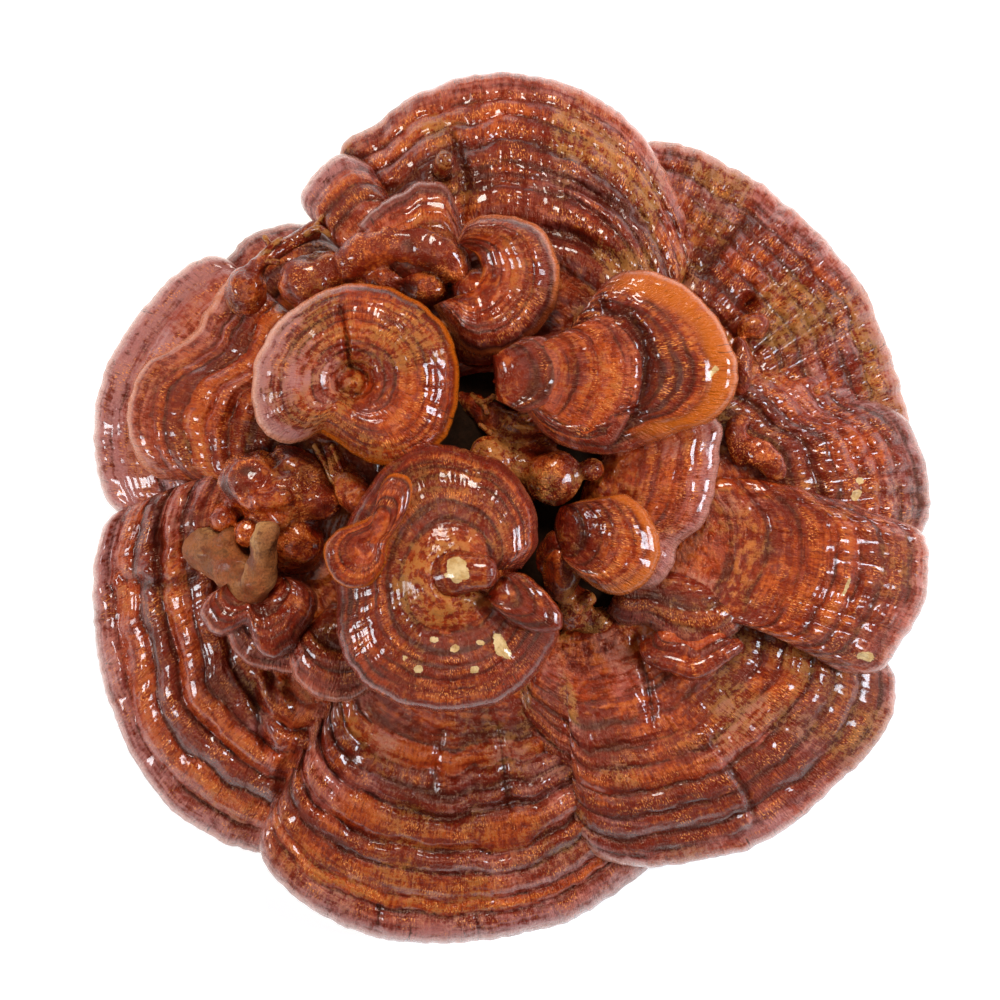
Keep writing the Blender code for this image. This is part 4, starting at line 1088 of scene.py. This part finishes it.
def stalk_skin(name, colours):
    """Dull tan-brown skin of the stalks and inner lobes, pale where dust lies and more so on the up-facing sides
    (painted light), with painted shade on the down-facing sides of the red parts, redder where the lacquer is left.
    """
    tree = Tree(name)
    place = tree.stretch(tree.node("ShaderNodeTexCoord", {}, {}, out=3), (1000.0, 1000.0, 1000.0))
    hump, ring, band = tree.split(tree.attribute("ring"))
    red, bloom, dust = tree.split(tree.attribute("tint"))
    blotch = tree.grit(place, 0.09, 4.0, 0.6)
    mottle = tree.grit(place, 0.45, 4.0, 0.6)
    skin = tree.mix(tree.between(blotch + (mottle - 0.5) * 0.5, 0.4, 0.62), colours.stalk, (0.15, 0.035, 0.011))
    # painted shade: where red, the down-facing sides take the groove colour and the up-facing sides the lacquer
    skin = tree.mix(red, skin, tree.mix(tree.between(hump + mottle - 0.5, 0.2, 0.8), colours.groove_and_shade, colours.lacquer))
    # painted light: pale on the up-facing sides where dust lies
    dust_and_painted_top_light = tree.between(hump + (mottle - 0.5) * 2.0, 0.45, 0.95) * dust * (1 - red * 0.6)
    skin = tree.mix(dust_and_painted_top_light, skin, (0.46, 0.25, 0.09))
    skin = tree.mix(tree.between(mottle, 0.5, 0.3) * 0.6, skin, (0.05, 0.018, 0.009))
    shine = tree.between(blotch, 0.45, 0.6) * red * 0.35
    grains = tree.grit(place, 1.3, 3.0, 0.6)
    skin = tree.mix(tree.between(grains, 0.55, 0.35) * 0.45, skin, (0.07, 0.02, 0.008))
    height = mottle * 1.4 + blotch * 0.5 + grains * 1.0
    return tree.finish(skin, (grains * 0.5 + 0.22).clamp(), height, shine.clamp(), 0.2)


def stem_skin(name, colours):
    """Dark dry stump with a pale sawn foot, painted near black towards its top as shade under the caps."""
    tree = Tree(name)
    place = tree.stretch(tree.node("ShaderNodeTexCoord", {}, {}, out=3), (1000.0, 1000.0, 1000.0))
    x, y, z = tree.split(place)
    fibres = tree.grit(tree.stretch(place, (1.0, 1.0, 0.2)), 0.5, 4.0, 0.65)
    blotch = tree.grit(place, 0.06, 3.0, 0.6)
    skin = tree.mix(tree.between(fibres, 0.35, 0.65), (0.016, 0.007, 0.004), (0.06, 0.022, 0.01))
    skin = tree.mix(tree.between(blotch, 0.5, 0.7) * 0.4, skin, (0.1, 0.045, 0.02))
    years = tree.node("ShaderNodeTexWave", {"wave_type": "RINGS", "rings_direction": "Z"},
                      {"Vector": place, "Scale": 0.12, "Distortion": 3.0, "Detail": 2.0, "Detail Scale": 0.1}, out=1)
    sawn = tree.mix(tree.between(fibres + (years - 0.5) * 0.5, 0.3, 0.8), (0.4, 0.26, 0.13), (0.22, 0.12, 0.055))
    # painted shade: the stump goes near black towards its top, under the caps
    skin = tree.mix(tree.between(z, 30.0, 46.0) * 0.85, skin, (0.006, 0.003, 0.002))
    foot = tree.between(z, 0.6, 0.15)
    return tree.finish(tree.mix(foot, skin, sawn), (fibres * 0.3 + 0.6).clamp(), fibres, 0.0, 0.3, 0.1)


def make_skins(colours):
    SKINS["lacquer_red"] = lacquer("lacquer_red", colours)
    SKINS["lacquer_orange"] = lacquer("lacquer_orange", colours)
    SKINS["bark_red"] = lacquer("bark_red", colours)
    SKINS["stalk_brown"] = stalk_skin("stalk_brown", colours)
    SKINS["stem_dark"] = stem_skin("stem_dark", colours)


# ------------------------------------------------------------------ operators


class REISHI_OT_caps(bpy.types.Operator):
    """Grows every ringed cap"""

    bl_idname = "reishi.caps"
    bl_label = "Caps"

    def execute(self, context):
        for k, cap in enumerate(CAPS):
            grow_cap(cap, context.scene.reishi_sizes, 100 * k + 7)
        return {"FINISHED"}


class REISHI_OT_clusters(bpy.types.Operator):
    """Grows the knobbly lobes, folds and stalks"""

    bl_idname = "reishi.clusters"
    bl_label = "Lobes and stalks"

    def execute(self, context):
        for k, cluster in enumerate(CLUSTERS):
            grow_cluster(cluster, 5000 + 100 * k)
        return {"FINISHED"}


class REISHI_OT_stem(bpy.types.Operator):
    """Grows the shared stem with its sawn foot"""

    bl_idname = "reishi.stem"
    bl_label = "Stem"

    def execute(self, context):
        grow_stem()
        return {"FINISHED"}


class REISHI_OT_skins(bpy.types.Operator):
    """Mixes the skins"""

    bl_idname = "reishi.skins"
    bl_label = "Skins"

    def execute(self, context):
        make_skins(context.scene.reishi_colours)
        return {"FINISHED"}


def area_light(name, energy, size, place, colour=(1, 1, 1)):
    lamp = bpy.data.lights.new(name, "AREA")
    lamp.energy, lamp.size, lamp.color = energy, size, colour
    holder = bpy.data.objects.new(name, lamp)
    holder.location = place
    holder.rotation_mode = "QUATERNION"
    holder.rotation_quaternion = (-Vector(place)).to_track_quat("-Z", "Y")
    bpy.context.scene.collection.objects.link(holder)
    return holder


class REISHI_OT_stage(bpy.types.Operator):
    """Sets the pale floor, the soft lights and the camera overhead"""

    bl_idname = "reishi.stage"
    bl_label = "Stage"

    def execute(self, context):
        scene = context.scene
        tree = Tree("pale_floor")
        tree.shader.inputs["Base Color"].default_value = (*scene.reishi_colours.floor, 1)
        tree.shader.inputs["Roughness"].default_value = 0.9
        tree.shader.inputs["Emission Color"].default_value = (1, 1, 1, 1)
        tree.shader.inputs["Emission Strength"].default_value = 0.4
        built = bmesh.new()
        bmesh.ops.create_grid(built, x_segments=8, y_segments=8, size=3.0)
        floor = bpy.data.objects.new("floor", mesh_from(built, "floor"))
        floor.data.materials.append(tree.material)
        floor.location.z = -0.0005
        scene.collection.objects.link(floor)
        area_light("window_right", 27, 0.5, (1.3, 0.0, 0.9), (0.78, 0.88, 1.0))
        area_light("window_left", 18, 0.45, (-1.2, -0.4, 0.85), (0.88, 0.94, 1.0))
        area_light("window_back", 22.5, 0.45, (0.1, 1.2, 1.2), (1.0, 0.94, 0.86))
        area_light("overhead", 6, 1.4, (-0.3, -0.4, 2.4), (1.0, 0.97, 0.93))
        world = bpy.data.worlds.new("soft_studio")
        scene.world = world
        world.use_nodes = True
        world.node_tree.nodes["Background"].inputs[0].default_value = (0.95, 0.97, 1.0, 1)
        world.node_tree.nodes["Background"].inputs[1].default_value = 0.07
        camera = bpy.data.objects.new("camera", bpy.data.cameras.new("camera"))
        camera.data.sensor_width = 36
        camera.data.lens = 36 * (1.8 - 0.04) / 0.35
        camera.location = (-0.0035, 0.0035, 1.8)
        camera.data.clip_end = 50
        scene.collection.objects.link(camera)
        scene.camera = camera
        scene.view_settings.view_transform = "Standard"
        return {"FINISHED"}


class REISHI_PT_panel(bpy.types.Panel):
    """The rosette's tools"""

    bl_label = "Reishi"
    bl_space_type = "VIEW_3D"
    bl_region_type = "UI"
    bl_category = "Reishi"

    def draw(self, context):
        for group in (context.scene.reishi_sizes, context.scene.reishi_colours):
            for key in group.__annotations__:
                self.layout.prop(group, key)
        for step in STEPS:
            self.layout.operator(step)


STEPS = ("reishi.skins", "reishi.caps", "reishi.clusters", "reishi.stem", "reishi.stage")
CLASSES = (ReishiSizes, ReishiColours, REISHI_OT_caps, REISHI_OT_clusters, REISHI_OT_stem, REISHI_OT_skins,
           REISHI_OT_stage, REISHI_PT_panel)


def register():
    for item in CLASSES:
        bpy.utils.register_class(item)
    bpy.types.Scene.reishi_sizes = PointerProperty(type=ReishiSizes)
    bpy.types.Scene.reishi_colours = PointerProperty(type=ReishiColours)


def unregister():
    del bpy.types.Scene.reishi_colours
    del bpy.types.Scene.reishi_sizes
    for item in reversed(CLASSES):
        bpy.utils.unregister_class(item)


def main():
    register()
    for step in STEPS:
        group, name = step.split(".")
        getattr(getattr(bpy.ops, group), name)()


if __name__ == "__main__":
    main()
